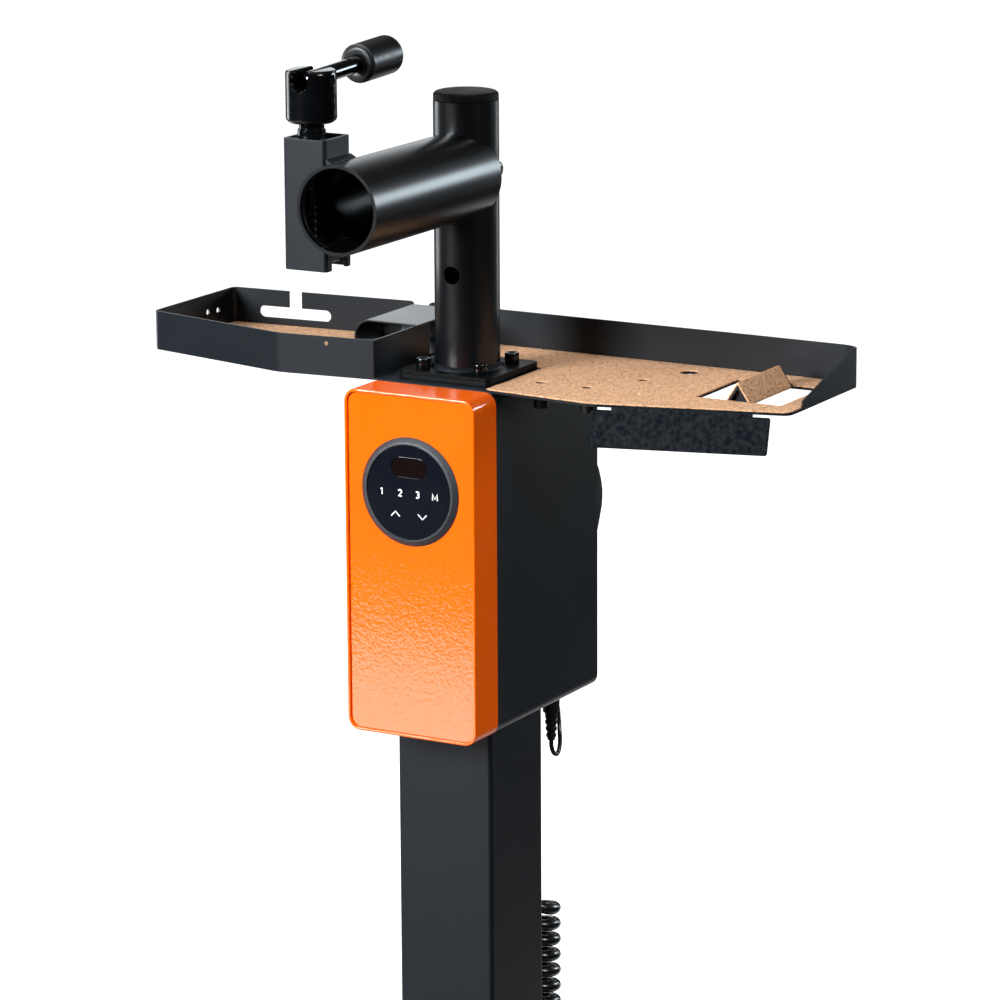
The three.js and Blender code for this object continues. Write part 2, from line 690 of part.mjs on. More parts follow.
function cordHeadGland() {
  return turned([[0, -276 + fit], [6.6, -276 + fit], [8.6, -262], [8.6, housingBottom - fit],
    [5.7, housingBottom - fit], [5.7, -250], [0, -250]], cordGlandX, cordGlandY, 14);
}

// The spiral cord: straight down out of its gland, behind the column, into the curls, and out of
// the last curl down into the gland on the base. The curls wind counterclockwise as they go down.
const cordHeadEnd = new THREE.Vector3(cordGlandX, cordGlandY, deckHeight - 276);
const curlTop = deckHeight + coilTop;
const stepsPerCurl = 8;
const leadInTurns = 0.5;
const startAngle = THREE.MathUtils.degToRad(209.2);

// Height lost after some turns: steep at both ends, steady in the curls.
function curlDrop(turn) {
  const steep = 22;
  const enter = Math.max(0, leadInTurns - turn) / leadInTurns;
  const leave = Math.max(0, turn - (cordTurns - leadInTurns)) / leadInTurns;
  return cordPitch * turn + steep * (1 - enter ** 3) + steep * leave ** 3;
}

function cordPath() {
  const points = [];
  const start = new THREE.Vector2(coilX + cordTurnRadius * Math.cos(startAngle),
    coilY + cordTurnRadius * Math.sin(startAngle));
  points.push(cordHeadEnd, cordHeadEnd.clone().setZ(cordHeadEnd.z - cordDiameter));
  for (const part of [0.2, 0.4, 0.6, 0.8]) {
    const ease = part * part * (3 - 2 * part);
    points.push(new THREE.Vector3(
      THREE.MathUtils.lerp(cordHeadEnd.x, start.x, ease),
      THREE.MathUtils.lerp(cordHeadEnd.y, start.y, ease),
      THREE.MathUtils.lerp(cordHeadEnd.z - cordDiameter, curlTop + 24, part)));
  }
  for (let step = 0; step <= cordTurns * stepsPerCurl; step += 1) {
    const turn = step / stepsPerCurl;
    const angle = startAngle + 2 * Math.PI * turn;
    points.push(new THREE.Vector3(coilX + cordTurnRadius * Math.cos(angle),
      coilY + cordTurnRadius * Math.sin(angle), curlTop + 22 - curlDrop(turn)));
  }
  points.push(cordEnd.clone().setZ(cordEnd.z + cordDiameter), cordEnd);
  return points;
}

// A tube through a list of points, one ring of five at each, carried along without twist.
function tubeThrough(points, diameter, sides) {
  const positions = [];
  const faces = [];
  const radius = diameter / 2;
  let side = new THREE.Vector3(1, 0, 0);
  points.forEach((point, i) => {
    const ahead = points[Math.min(i + 1, points.length - 1)];
    const behind = points[Math.max(i - 1, 0)];
    const way = ahead.clone().sub(behind).normalize();
    if (i < 2 || i > points.length - 3) way.set(0, 0, -1);
    side = side.clone().addScaledVector(way, -side.dot(way)).normalize();
    const other = way.clone().cross(side);
    for (let k = 0; k < sides; k += 1) {
      const angle = 2 * Math.PI * k / sides;
      const spot = point.clone().addScaledVector(side, radius * Math.cos(angle));
      spot.addScaledVector(other, radius * Math.sin(angle));
      positions.push(spot.x, spot.y, spot.z);
      const next = (k + 1) % sides;
      if (i > 0) {
        const a = (i - 1) * sides;
        const b = i * sides;
        faces.push(a + k, a + next, b + next, a + k, b + next, b + k);
      }
    }
  });
  const last = (points.length - 1) * sides;
  for (let k = 1; k < sides - 1; k += 1) {
    faces.push(0, k + 1, k, last, last + k, last + k + 1);
  }
  const geometry = new THREE.BufferGeometry();
  geometry.setAttribute('position', new THREE.Float32BufferAttribute(positions, 3));
  geometry.setIndex(faces);
  return geometry;
}

// The least gap between stretches of the cord that are at least half a curl apart.
function leastGap(points, diameter) {
  let least = Infinity;
  const away = stepsPerCurl / 2;
  for (let i = 0; i < points.length; i += 1) {
    for (let j = i + away; j < points.length; j += 1) {
      least = Math.min(least, points[i].distanceTo(points[j]) - diameter);
    }
  }
  return least;
}

function spiralCord() {
  const points = cordPath();
  const length = points.reduce((sum, p, i) => sum + (i ? p.distanceTo(points[i - 1]) : 0), 0);
  const gap = leastGap(points, cordDiameter);
  console.log(`Spiral cord, length ${length.toFixed(0)} mm, least gap to itself ${gap.toFixed(2)} mm`);
  return tubeThrough(points, cordDiameter, 5);
}

// The assembly

const stand = new THREE.Group();
const head = new THREE.Group();
head.position.z = deckHeight;
stand.add(head);

const handle = new THREE.Group();
handle.position.set(spindleX, spindleY, pinZ);
handle.rotation.x = handleTilt;
head.add(handle);

const spindle = new THREE.Group();
spindle.position.set(spindleX, spindleY, 0);
head.add(spindle);

function geometryOf(body) {
  const mesh = body.getMesh();
  const geometry = new THREE.BufferGeometry();
  geometry.setAttribute('position', new THREE.BufferAttribute(new Float32Array(mesh.vertProperties), 3));
  geometry.setIndex(new THREE.BufferAttribute(new Uint32Array(mesh.triVerts), 1));
  return geometry;
}

function add(group, name, body, finish) {
  const geometry = body.isBufferGeometry ? body : geometryOf(body);
  const mesh = new THREE.Mesh(geometry, new THREE.MeshStandardMaterial(finishes[finish]));
  mesh.name = name;
  group.add(mesh);
}

add(stand, 'base_plate', basePlate(), 'blackCoat');
add(stand, 'column_foot', columnFoot(), 'blackCoat');
[[-54, -54], [54, -54], [54, 54], [-54, 54]].forEach(([x, y], i) => {
  add(stand, `foot_bolt_${i + 1}`, footBolt(x, y), 'zincSteel');
});
add(stand, 'power_box', powerBox(), 'blackPlastic');
add(stand, 'inner_tube', innerTube(), 'blackCoat');
add(stand, 'lift_nut', liftNut(), 'brass');

add(stand, 'middle_tube', middleTube(), 'blackCoat');
add(stand, 'middle_mouth_ring', mouthRing(37.5, 35.3, middleBottom - 6, middleBottom), 'blackPlastic');
add(stand, 'screw_sleeve', screwSleeve(), 'zincSteel');

add(head, 'outer_tube', outerTube(), 'blackCoat');
add(head, 'outer_mouth_ring', mouthRing(42, 37.9, outerBottom - 8 - deckHeight, outerBottom - deckHeight), 'blackPlastic');
add(head, 'column_top_plate', columnTopPlate(), 'blackCoat');
add(head, 'lift_gearbox', liftGearbox(), 'zincSteel');
add(head, 'lift_motor', liftMotor(), 'zincSteel');
add(head, 'lift_screw', liftScrew(), 'zincSteel');
add(head, 'housing_shell', housingShell(), 'blackCoat');
add(head, 'rear_panel', rearPanel(), 'blackCoat');
add(head, 'cover_frame', coverFrame(), 'orangeCoat');
add(head, 'cover_panel', coverPanel(), 'orangeCoat');
add(head, 'control_bezel', controlBezel(), 'blackPlastic');
add(head, 'control_face', controlFace(), 'blackPlastic');
add(head, 'display_window', displayWindow(), 'darkGlass');
add(head, 'control_box', controlBox(), 'blackPlastic');

add(head, 'tray', tray(), 'blackCoat');
add(head, 'cork_left', corkLeft(), 'cork');
add(head, 'cork_right', corkRight(), 'cork');
add(head, 'cork_ridge', corkRidge(), 'cork');
add(head, 'magnet_bar', magnetBar(), 'blackCoat');
add(head, 'tray_bracket', trayBracket(), 'blackCoat');
bracketScrewPlaces.forEach((place, i) => add(head, `bracket_screw_${i + 1}`, bracketScrew(place), 'zincSteel'));
sleevePlaces.forEach((place, i) => add(head, `tool_sleeve_${i + 1}`, toolSleeve(place), 'blackPlastic'));

add(head, 'tray_clamp_plate', flangePlate(trayFloorTop, 2), 'blackCoat');
add(head, 'post_flange', flangePlate(2, postBottom), 'blackCoat');
add(head, 'post', post(), 'blackCoat');
add(head, 'post_cap', postCap(), 'blackPlastic');
[[-1, -1], [1, -1], [1, 1], [-1, 1]].forEach(([i, j], n) => {
  add(head, `flange_screw_${n + 1}`, flangeScrew(i, j), 'blackSteel');
});
add(head, 'cross_bolt', crossBolt(), 'blackSteel');
add(head, 'clamp_tube', clampTube(), 'blackCoat');
add(head, 'wedge_housing', wedgeHousing(), 'blackCoat');
add(head, 'saddle_gusset', saddleGusset(), 'blackCoat');

add(head, 'upper_wedge', wedge(172, 191, wedgeTravel), 'zincSteel');
add(head, 'lower_wedge', wedge(108, 126, -wedgeTravel), 'zincSteel');
add(spindle, 'clamp_spindle', clampSpindle(), 'blackSteel');
add(handle, 'handle_pin', handlePin(), 'zincSteel');
add(handle, 'handle_rod', handleRod(), 'blackSteel');
add(handle, 'handle_knob', handleKnob(), 'blackSteel');

add(head, 'lead_plug', leadPlug(), 'blackPlastic');
add(head, 'lead_cable', leadCable(), 'cordRubber');
add(head, 'lead_rear_gland', leadRearGland(), 'blackPlastic');
add(head, 'cord_head_gland', cordHeadGland(), 'blackPlastic');
add(stand, 'spiral_cord', spiralCord(), 'cordRubber');

export default stand;
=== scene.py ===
# A powered repair stand for bicycles: a flat heavy base, a telescoping square column, a housing
# with an orange cover, a parts tray, and a round socket that grips the arm of a clamp.
# Metres in the scene. The pieces are drawn in millimetres, and those of the head measure their
# heights from deck_height, as the CAD does.

import math

import bmesh
import bpy
from mathutils import Matrix, Vector, geometry, noise


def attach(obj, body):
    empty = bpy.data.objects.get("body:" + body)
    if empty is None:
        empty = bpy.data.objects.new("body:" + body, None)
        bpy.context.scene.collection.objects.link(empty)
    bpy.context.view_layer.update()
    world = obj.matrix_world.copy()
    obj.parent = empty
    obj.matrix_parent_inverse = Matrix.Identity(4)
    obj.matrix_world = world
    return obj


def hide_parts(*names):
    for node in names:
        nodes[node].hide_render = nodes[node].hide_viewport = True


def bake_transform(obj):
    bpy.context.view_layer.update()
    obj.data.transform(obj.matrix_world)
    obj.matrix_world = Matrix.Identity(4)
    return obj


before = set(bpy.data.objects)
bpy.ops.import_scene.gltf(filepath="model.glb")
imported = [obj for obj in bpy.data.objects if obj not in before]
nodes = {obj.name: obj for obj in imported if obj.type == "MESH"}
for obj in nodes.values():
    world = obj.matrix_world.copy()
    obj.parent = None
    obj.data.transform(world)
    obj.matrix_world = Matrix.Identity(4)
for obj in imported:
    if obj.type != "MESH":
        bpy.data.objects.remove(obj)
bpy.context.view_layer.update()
deck_height = 883.0


# The camera stands where the photograph was taken from, found from the straight edges of the
# housing and the column. A long lens, a little above the tray and to its right.
camera_data = bpy.data.cameras.new("camera")
camera_data.lens = 168.09
camera_data.sensor_width = 36.0
camera_data.clip_end = 200.0
camera = bpy.data.objects.new("camera", camera_data)
bpy.context.scene.collection.objects.link(camera)
turn_left = Matrix.Rotation(math.radians(29.24), 3, "Z")
look_down = Matrix.Rotation(math.radians(90 - 13.31), 3, "X")
level = Matrix.Rotation(math.radians(-0.317), 3, "Z")
camera.matrix_world = Matrix.Translation((1.6723, -2.9397, 1.5857)) @ (
    turn_left @ look_down @ level
).to_4x4()
bpy.context.scene.camera = camera


# The studio: a wide pale floor that blooms to white away from the stand, a large soft light
# high on the front left, a weak one on the right, a low one by the floor, one overhead, one on
# the left and three behind. Mirrored in the stand, the floor is pale only near it.
def node(tree, kind, inputs=(), **settings):
    made = tree.nodes.new("ShaderNode" + kind)
    for key, value in settings.items():
        setattr(made, key, value)
    for key, value in dict(inputs).items():
        if isinstance(value, bpy.types.NodeSocket):
            tree.links.new(value, made.inputs[key])
        else:
            made.inputs[key].default_value = value
    return made


def grey(value, alpha=1.0):
    return (value, value, value, alpha)


def remap(tree, value, low, high, to_low, to_high):
    """A value spread from one range to another, and held at its ends."""
    ends = {"From Min": low, "From Max": high, "To Min": to_low, "To Max": to_high}
    return node(tree, "MapRange", {"Value": value, **ends}).outputs["Result"]


def times(tree, first, second):
    return node(tree, "Math", {0: first, 1: second}, operation="MULTIPLY").outputs[0]


def soft_light(name, place, aim, size, power, tint=(1.0, 1.0, 1.0)):
    lamp = bpy.data.lights.new(name, "AREA")
    lamp.shape = "RECTANGLE"
    lamp.size, lamp.size_y = size
    lamp.energy = power
    lamp.color = tint
    made = bpy.data.objects.new(name, lamp)
    made.visible_camera = False
    made.location = place
    made.rotation_euler = (Vector(aim) - Vector(place)).to_track_quat("-Z", "Y").to_euler()
    bpy.context.scene.collection.objects.link(made)


floor_bm = bmesh.new()
bmesh.ops.create_grid(floor_bm, x_segments=1, y_segments=1, size=60.0)
floor_mesh = bpy.data.meshes.new("studio_floor")
floor_bm.to_mesh(floor_mesh)
floor_bm.free()
studio_floor = bpy.data.objects.new("studio_floor", floor_mesh)
bpy.context.scene.collection.objects.link(studio_floor)
floor_paint = bpy.data.materials.new("studio_floor")
floor_paint.use_nodes = True
tree = floor_paint.node_tree
tree.nodes.clear()
place = node(tree, "TexCoord")
reach = node(tree, "VectorMath", {0: place.outputs["Object"]}, operation="LENGTH")
far = reach.outputs["Value"]
bloom = remap(tree, far, 0.5, 2.4, 0.5, 1.0)
seen = node(tree, "BsdfDiffuse", {"Color": grey(0.8)})
lit = node(tree, "Emission", {"Color": grey(1.0), "Strength": bloom})
bright = node(tree, "AddShader", {0: seen.outputs[0], 1: lit.outputs[0]})
spot = node(tree, "SeparateXYZ", {"Vector": place.outputs["Object"]})
fade = remap(tree, far, 1.7, 2.7, 1.0, 0.0)
left = remap(tree, spot.outputs["X"], -0.1, 0.6, 1.0, 0.0)
behind = remap(tree, spot.outputs["Y"], -0.5, 0.5, 0.45, 1.2)
glow = times(tree, times(tree, fade, left), behind)
pale = node(tree, "Emission", {"Color": grey(1.0), "Strength": glow})
dim = node(tree, "BsdfDiffuse", {"Color": grey(0.02)})
mirrored = node(tree, "AddShader", {0: pale.outputs[0], 1: dim.outputs[0]})
ray = node(tree, "LightPath")
pick = node(
    tree,
    "MixShader",
    {0: ray.outputs["Is Camera Ray"], 1: mirrored.outputs[0], 2: bright.outputs[0]},
)
node(tree, "OutputMaterial", {"Surface": pick.outputs[0]})
floor_mesh.materials.append(floor_paint)

studio = bpy.data.worlds.new("studio")
studio.use_nodes = True
sky = studio.node_tree.nodes["Background"]
sky.inputs["Color"].default_value = (0.9, 0.95, 1.0, 1.0)
sky.inputs["Strength"].default_value = 0.06
bpy.context.scene.world = studio
cool, blue, rosy = (0.93, 0.97, 1.0), (0.8, 0.92, 1.0), (1.0, 0.93, 0.95)
glow_x, glow_y = -1.15, -1.95
soft_light("front_softbox", (-1.7, -3.6, 2.3), (0, 0, 0.85), (1.4, 1.4), 400, cool)
soft_light("right_softbox", (2.9, -0.8, 2.4), (0, 0, 0.85), (0.8, 0.8), 50)
soft_light("floor_glow", (glow_x, glow_y, 0.02), (glow_x, glow_y, 1.0), (1.1, 0.6), 11.5, rosy)
soft_light("top_softbox", (-0.3, 0.5, 3.3), (0, 0, 0.9), (1.6, 1.6), 26)
soft_light("rear_softbox", (1.5, 2.45, 1.42), (0, 0, 1.0), (0.75, 0.6), 24, blue)
soft_light("rear_glow", (-1.7, 3.0, 1.8), (0, 0, 0.95), (1.8, 1.4), 12, cool)
soft_light("left_softbox", (-3.0, 0.3, 1.3), (0, 0, 0.9), (1.0, 2.2), 36, cool)
soft_light("rear_strip", (0.7, 3.0, 1.1), (0, 0, 0.9), (0.15, 1.8), 8, cool)
bpy.context.scene.view_settings.view_transform = "Standard"


# The spiral cord feeds the lift motor from the box on the base. It is a round cable in a glossy
# black sheath, wound to springy curls, and hangs behind the column between two glands.
def tube_along(name, points, thickness):
    """A round cable through the points, in metres, as a closed mesh."""
    line = bpy.data.curves.new(name + ".line", "CURVE")
    line.dimensions = "3D"
    line.bevel_depth = thickness / 2
    line.bevel_resolution = 4
    line.use_fill_caps = True
    spline = line.splines.new("POLY")
    spline.points.add(len(points) - 1)
    for knot, place in zip(spline.points, points):
        knot.co = (*place, 1.0)
    source = bpy.data.objects.new(name + ".line", line)
    mesh = bpy.data.meshes.new_from_object(source)
    mesh.name = name
    bpy.data.objects.remove(source)
    bpy.data.curves.remove(line)
    mesh.shade_smooth()
    made = bpy.data.objects.new(name, mesh)
    bpy.context.scene.collection.objects.link(made)
    return made


def material(name, base, roughness, metallic=0.0, **shader_values):
    """A Principled material, and the tree and shader that a section goes on to build on."""
    made = bpy.data.materials.new(name)
    made.use_nodes = True
    shader = made.node_tree.nodes["Principled BSDF"]
    shader.inputs["Base Color"].default_value = (*base, 1.0)
    shader.inputs["Roughness"].default_value = roughness
    shader.inputs["Metallic"].default_value = metallic
    for key, value in shader_values.items():
        shader.inputs[key.replace("_", " ").title().replace("Ior", "IOR")].default_value = value
    return made, made.node_tree, shader


def new_group(name, inputs, outputs):
    """An empty node group with float inputs (name, value) and outputs (name, kind)."""
    group = bpy.data.node_groups.new(name, "ShaderNodeTree")
    for label, value in inputs:
        socket = group.interface.new_socket(label, in_out="INPUT", socket_type="NodeSocketFloat")
        socket.default_value = value
    for label, kind in outputs:
        group.interface.new_socket(label, in_out="OUTPUT", socket_type="NodeSocket" + kind)
    return group, group.nodes.new("NodeGroupInput"), group.nodes.new("NodeGroupOutput")


# Grain: a fine skin texture of a given size, as a normal and as a value from 0 to 1.
grain_group, grain_in, grain_out = new_group(
    "skin_grain",
    [("Grains per metre", 900.0), ("Depth", 0.00005), ("Roughness of grain", 0.6)],
    [("Normal", "Vector"), ("Value", "Float")],
)
place = node(grain_group, "TexCoord")
grains = node(
    grain_group,
    "TexNoise",
    {
        "Vector": place.outputs["Object"],
        "Scale": grain_in.outputs["Grains per metre"],
        "Detail": 3.0,
        "Roughness": grain_in.outputs["Roughness of grain"],
    },
)
raised = node(
    grain_group,
    "Bump",
    {"Distance": grain_in.outputs["Depth"], "Height": grains.outputs["Fac"], "Strength": 1.0},
)
grain_group.links.new(raised.outputs["Normal"], grain_out.inputs["Normal"])
grain_group.links.new(grains.outputs["Fac"], grain_out.inputs["Value"])

# Handling: slow patches of a slightly different gloss, as hands and cloths leave.
patch_group, patch_in, patch_out = new_group(
    "handling", [("Patches per metre", 14.0), ("Low", 0.4), ("High", 0.5)], [("Value", "Float")]
)
place = node(patch_group, "TexCoord")
clouds = node(
    patch_group,
    "TexNoise",
    {
        "Vector": place.outputs["Object"],
        "Scale": patch_in.outputs["Patches per metre"],
        "Detail": 5.0,
    },
)
low, high = patch_in.outputs["Low"], patch_in.outputs["High"]
spread = remap(patch_group, clouds.outputs["Fac"], 0.3, 0.7, low, high)
patch_group.links.new(spread, patch_out.inputs["Value"])


def add_grain(tree, shader, per_metre, depth, rough=0.6):
    grain = node(tree, "Group", node_tree=grain_group)
    grain.inputs["Grains per metre"].default_value = per_metre
    grain.inputs["Depth"].default_value = depth
    grain.inputs["Roughness of grain"].default_value = rough
    tree.links.new(grain.outputs["Normal"], shader.inputs["Normal"])
    return grain


def add_handling(tree, shader, per_metre, low, high):
    patches = node(tree, "Group", node_tree=patch_group)
    patches.inputs["Patches per metre"].default_value = per_metre
    patches.inputs["Low"].default_value = low
    patches.inputs["High"].default_value = high
    tree.links.new(patches.outputs["Value"], shader.inputs["Roughness"])
    return patches


sheath, tree, shader = material(
    "cord_sheath", (0.006, 0.006, 0.007), 0.22, Coat_Weight=0.25, Coat_Roughness=0.12
)
add_grain(tree, shader, 700.0, 0.00002)
add_handling(tree, shader, 60.0, 0.18, 0.3)

cord_width = 9.0
curl_radius, curl_pitch, curl_count = 13.5, 12.5, 27
curl_axis = Vector((20.0, 68.0))
curl_top = deck_height - 426.0
head_gland_end = Vector((8.0, 64.0, deck_height - 276.0))
base_gland_end = Vector((20.0, 81.5, 66.0))
first_angle = math.radians(209.2)
steps_per_curl = 24


def curl_point(turn):
    """A point on the curls, steeper in the first and the last half turn."""
    enter = max(0.0, 0.5 - turn) / 0.5
    leave = max(0.0, turn - (curl_count - 0.5)) / 0.5
    drop = curl_pitch * turn + 22 * (1 - enter**3) + 22 * leave**3
    angle = first_angle + math.tau * turn
    return Vector(
        (
            curl_axis.x + curl_radius * math.cos(angle),
            curl_axis.y + curl_radius * math.sin(angle),
            curl_top + 22 - drop,
        )
    )


def smooth_line(knots, steps):
    """Points on one smooth curve through the knots."""
    way = [
        (knots[min(i + 1, len(knots) - 1)] - knots[max(i - 1, 0)]) / 6 for i in range(len(knots))
    ]
    points = [knots[0]]
    for i in range(len(knots) - 1):
        reach = (knots[i + 1] - knots[i]).length / 3
        first = knots[i] + way[i].normalized() * reach
        second = knots[i + 1] - way[i + 1].normalized() * reach
        points += geometry.interpolate_bezier(knots[i], first, second, knots[i + 1], steps + 1)[1:]
    return points


below_gland = head_gland_end - Vector((0, 0, cord_width))
curls_start = curl_point(0)
cord_knots = [head_gland_end, below_gland]
for part in (0.2, 0.4, 0.6, 0.8):
    ease = part * part * (3 - 2 * part)
    knot = below_gland.lerp(curls_start, ease)
    knot.z = below_gland.z + (curl_top + 24 - below_gland.z) * part
    cord_knots.append(knot)
turns = [step / steps_per_curl for step in range(curl_count * steps_per_curl + 1)]
coarse = [curl_point(turn) for turn in turns]
lead_in = smooth_line(cord_knots + coarse[:3], 5)[:-10]
lead_out = smooth_line(
    coarse[-3:] + [base_gland_end + Vector((0, 0, cord_width)), base_gland_end], 6
)[12:]
cord_line = [point / 1000 for point in lead_in + coarse[1:-1] + lead_out]
spiral = tube_along("spiral_cord_sheath", cord_line, cord_width / 1000)
spiral.data.materials.append(sheath)
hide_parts("spiral_cord")
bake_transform(spiral)


# The short lead plugs into the underside of the housing, turns up behind the rear panel and
# goes in through a moulded cowl. The same sheath on a thinner cable.
def deck_point(x, y, z):
    return Vector((x, y, z + deck_height))


lead_knots = [
    deck_point(*knot)
    for knot in (
        (35, 63, -294.3), (34.6, 63.8, -299), (34.7, 67, -305.4), (35.2, 72, -307.6),
        (35, 76.5, -301.6), (33.2, 79.5, -291), (29.6, 85, -281.5), (24, 93.5, -277.5),
        (18, 102, -275.5), (13.4, 109, -270), (11.4, 111.8, -257), (11.4, 111.8, -238),
        (14.5, 111.6, -214), (21.5, 111.4, -192), (32, 111.3, -173), (41, 111.3, -159),
        (43.8, 111.3, -151), (44, 111.3, -147.3),
    )
]
lead_line = [point / 1000 for point in smooth_line(lead_knots, 6)]
lead = tube_along("short_lead", lead_line, 0.0035)
lead.data.materials.append(sheath)
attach(lead, "head")
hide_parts("lead_cable")


# The base plate is a flat steel plate with rounded corners in black powder coat. A thick foot
# plate carries the column's inner tube, and four zinc-plated bolts hold it down.
def soften(piece, width, segments=3, angle=32.0, from_cad=True):
    """Rounds a piece's edges by width millimetres, with modifiers, and shades it smooth."""
    piece.data.polygons.foreach_set("use_smooth", [True] * len(piece.data.polygons))
    if from_cad:
        weld = piece.modifiers.new("weld", "WELD")
        weld.merge_threshold = 0.00001
        planar = piece.modifiers.new("flat_faces", "DECIMATE")
        planar.decimate_type = "DISSOLVE"
        planar.angle_limit = math.radians(0.5)
    if width:
        bevel = piece.modifiers.new("round_edges", "BEVEL")
        bevel.width = width / 1000
        bevel.segments = segments
        bevel.limit_method = "ANGLE"
        bevel.angle_limit = math.radians(angle)
        bevel.harden_normals = False
        bevel.use_clamp_overlap = True
    even = piece.modifiers.new("even_shading", "WEIGHTED_NORMAL")
    even.keep_sharp = True
    even.weight = 100


def dress(names, finish, width, **more):
    """Gives CAD nodes their finish and rounded edges."""
    for name in names:
        nodes[name].data.materials.clear()
        nodes[name].data.materials.append(finish)
        soften(nodes[name], width, **more)


def mesh_in_metres(name, bm, lift=deck_height):
    """A mesh in metres from a bmesh in millimetres, which it uses up."""
    to_metres = Matrix.Diagonal((0.001, 0.001, 0.001, 1.0)) @ Matrix.Translation((0, 0, lift))
    bmesh.ops.transform(bm, matrix=to_metres, verts=bm.verts)
    mesh = bpy.data.meshes.new(name)
    bm.to_mesh(mesh)
    bm.free()
    return mesh


def new_piece(
    bm, name, body, finish, lift=deck_height, smooth=33.0, replaces=(), bevel=0.0
):
    """Turns a bmesh in millimetres into a finished piece at the origin, riding on its body."""
    mesh = mesh_in_metres(name, bm, lift)
    mesh.shade_smooth()
    mesh.set_sharp_from_angle(angle=math.radians(smooth))
    mesh.materials.append(finish)
    made = bpy.data.objects.new(name, mesh)
    bpy.context.scene.collection.objects.link(made)
    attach(made, body)
    if replaces:
        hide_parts(*replaces)
    if bevel:
        soften(made, bevel, from_cad=False)
    return made


def mixed(tree, factor, first, second, **settings):
    """A colour between two others."""
    inputs = {"Factor": factor, "A": first, "B": second}
    return node(tree, "Mix", inputs, data_type="RGBA", **settings).outputs["Result"]


# Black powder coat, satin, with the fine pebbled skin that baking leaves.
def powder_coat(name, base, low, high, depth=0.00003, level=0.4):
    made, tree, shader = material(name, base, low, Specular_IOR_Level=level)
    grain = add_grain(tree, shader, 1500.0, depth)
    add_handling(tree, shader, 9.0, low, high)
    darker, lighter = ((*[c * share for c in base], 1.0) for share in (0.75, 1.3))
    shade = mixed(tree, grain.outputs["Value"], darker, lighter)
    tree.links.new(shade, shader.inputs["Base Color"])
    return made


satin_coat = powder_coat("black_powder_coat", (0.0042, 0.0062, 0.009), 0.36, 0.44, level=0.28)
sheet_coat = powder_coat("black_sheet_coat", (0.0044, 0.0065, 0.0092), 0.32, 0.4, 0.00002, 0.3)
tube_coat = powder_coat("black_tube_coat", (0.0016, 0.0021, 0.0028), 0.26, 0.32, 0.00002)
dress(["base_plate"], satin_coat, 1.2)
dress(["column_foot"], satin_coat, 1.0)


def turned(profile, steps=64, place=None):
    """A shape turned on a lathe about +Z from (radius, height) points, then set in place."""
    bm = bmesh.new()
    line = [bm.verts.new((radius, 0, height)) for radius, height in profile]
    edges = [bm.edges.new(pair) for pair in zip(line, line[1:])]
    bmesh.ops.spin(
        bm, geom=line + edges, cent=(0, 0, 0), axis=(0, 0, 1), angle=math.tau, steps=steps,
        use_merge=True,
    )
    bmesh.ops.remove_doubles(bm, verts=bm.verts, dist=0.0005)
    bmesh.ops.recalc_face_normals(bm, faces=bm.faces)
    if place is not None:
        bmesh.ops.transform(bm, matrix=place, verts=bm.verts)
    return bm


def make_hexagonal(bm, radius, flat_radius, low, high):
    """Pulls a turned shape's points at one radius in to the flats of a hexagon."""
    for vert in bm.verts:
        out = math.hypot(vert.co.x, vert.co.y)
        if abs(out - radius) < 0.05 and low - 0.01 <= vert.co.z <= high + 0.01:
            angle = math.atan2(vert.co.y, vert.co.x) % (math.pi / 3) - math.pi / 6
            grow = flat_radius / math.cos(angle) / out
            vert.co.x *= grow
            vert.co.y *= grow


zinc, tree, shader = material("zinc_plate", (0.42, 0.43, 0.45), 0.32, 1.0)
add_grain(tree, shader, 1200.0, 0.00001)
add_handling(tree, shader, 90.0, 0.24, 0.42)
foot_top = 18.0
for number, (x, y) in enumerate(((-54, -54), (54, -54), (54, 54), (-54, 54)), 1):
    bolt = turned(
        [(0, foot_top), (8, foot_top), (8, foot_top + 1.4), (6.6, foot_top + 1.4),
         (6.6, foot_top + 7.6), (5.4, foot_top + 8.4), (0, foot_top + 8.4)],
        steps=48,
    )
    make_hexagonal(bolt, 6.6, 6.3, foot_top + 1.4, foot_top + 7.6)
    bmesh.ops.translate(bolt, vec=(x, y, 0), verts=bolt.verts)
    new_piece(bolt, f"foot_bolt_head_{number}", "root", zinc, 0.0, 30.0,
              [f"foot_bolt_{number}"])


# The box behind the foot takes the mains lead in its rear and the spiral cord on top. It is
# moulded in black plastic, with three flat contacts down in the inlet.
plastic, tree, shader = material("black_plastic", (0.009, 0.009, 0.01), 0.45)
add_grain(tree, shader, 1800.0, 0.00004)
add_handling(tree, shader, 40.0, 0.4, 0.52)
dress(["power_box"], plastic, 0.8)
contacts = bmesh.new()
for x, z in ((12, 30), (28, 30), (20, 35)):
    blade = bmesh.ops.create_cube(contacts, size=1.0)["verts"]
    bmesh.ops.scale(contacts, vec=(1.4, 8.0, 5.0), verts=blade)
    bmesh.ops.translate(contacts, vec=(x, 123.2, z), verts=blade)
new_piece(contacts, "inlet_contacts", "root", zinc, 0.0, bevel=0.3)


# The column: three square steel tubes in black powder coat that slide in each other, with a
# plastic ring in each mouth, and a screw, a hollow screw and a brass nut inside.
dress(["inner_tube", "middle_tube"], satin_coat, 0.4)
dress(["outer_tube"], satin_coat, 0.4)
dress(["middle_mouth_ring", "outer_mouth_ring"], plastic, 0.8)
dress(["column_top_plate"], satin_coat, 0.4)
dress(["screw_sleeve", "lift_screw", "lift_gearbox", "lift_motor"], zinc, 0.3)
brass, tree, shader = material("machined_brass", (0.5, 0.36, 0.12), 0.3, 1.0)
add_grain(tree, shader, 2500.0, 0.00001)
add_handling(tree, shader, 80.0, 0.22, 0.38)
dress(["lift_nut"], brass, 0.3)


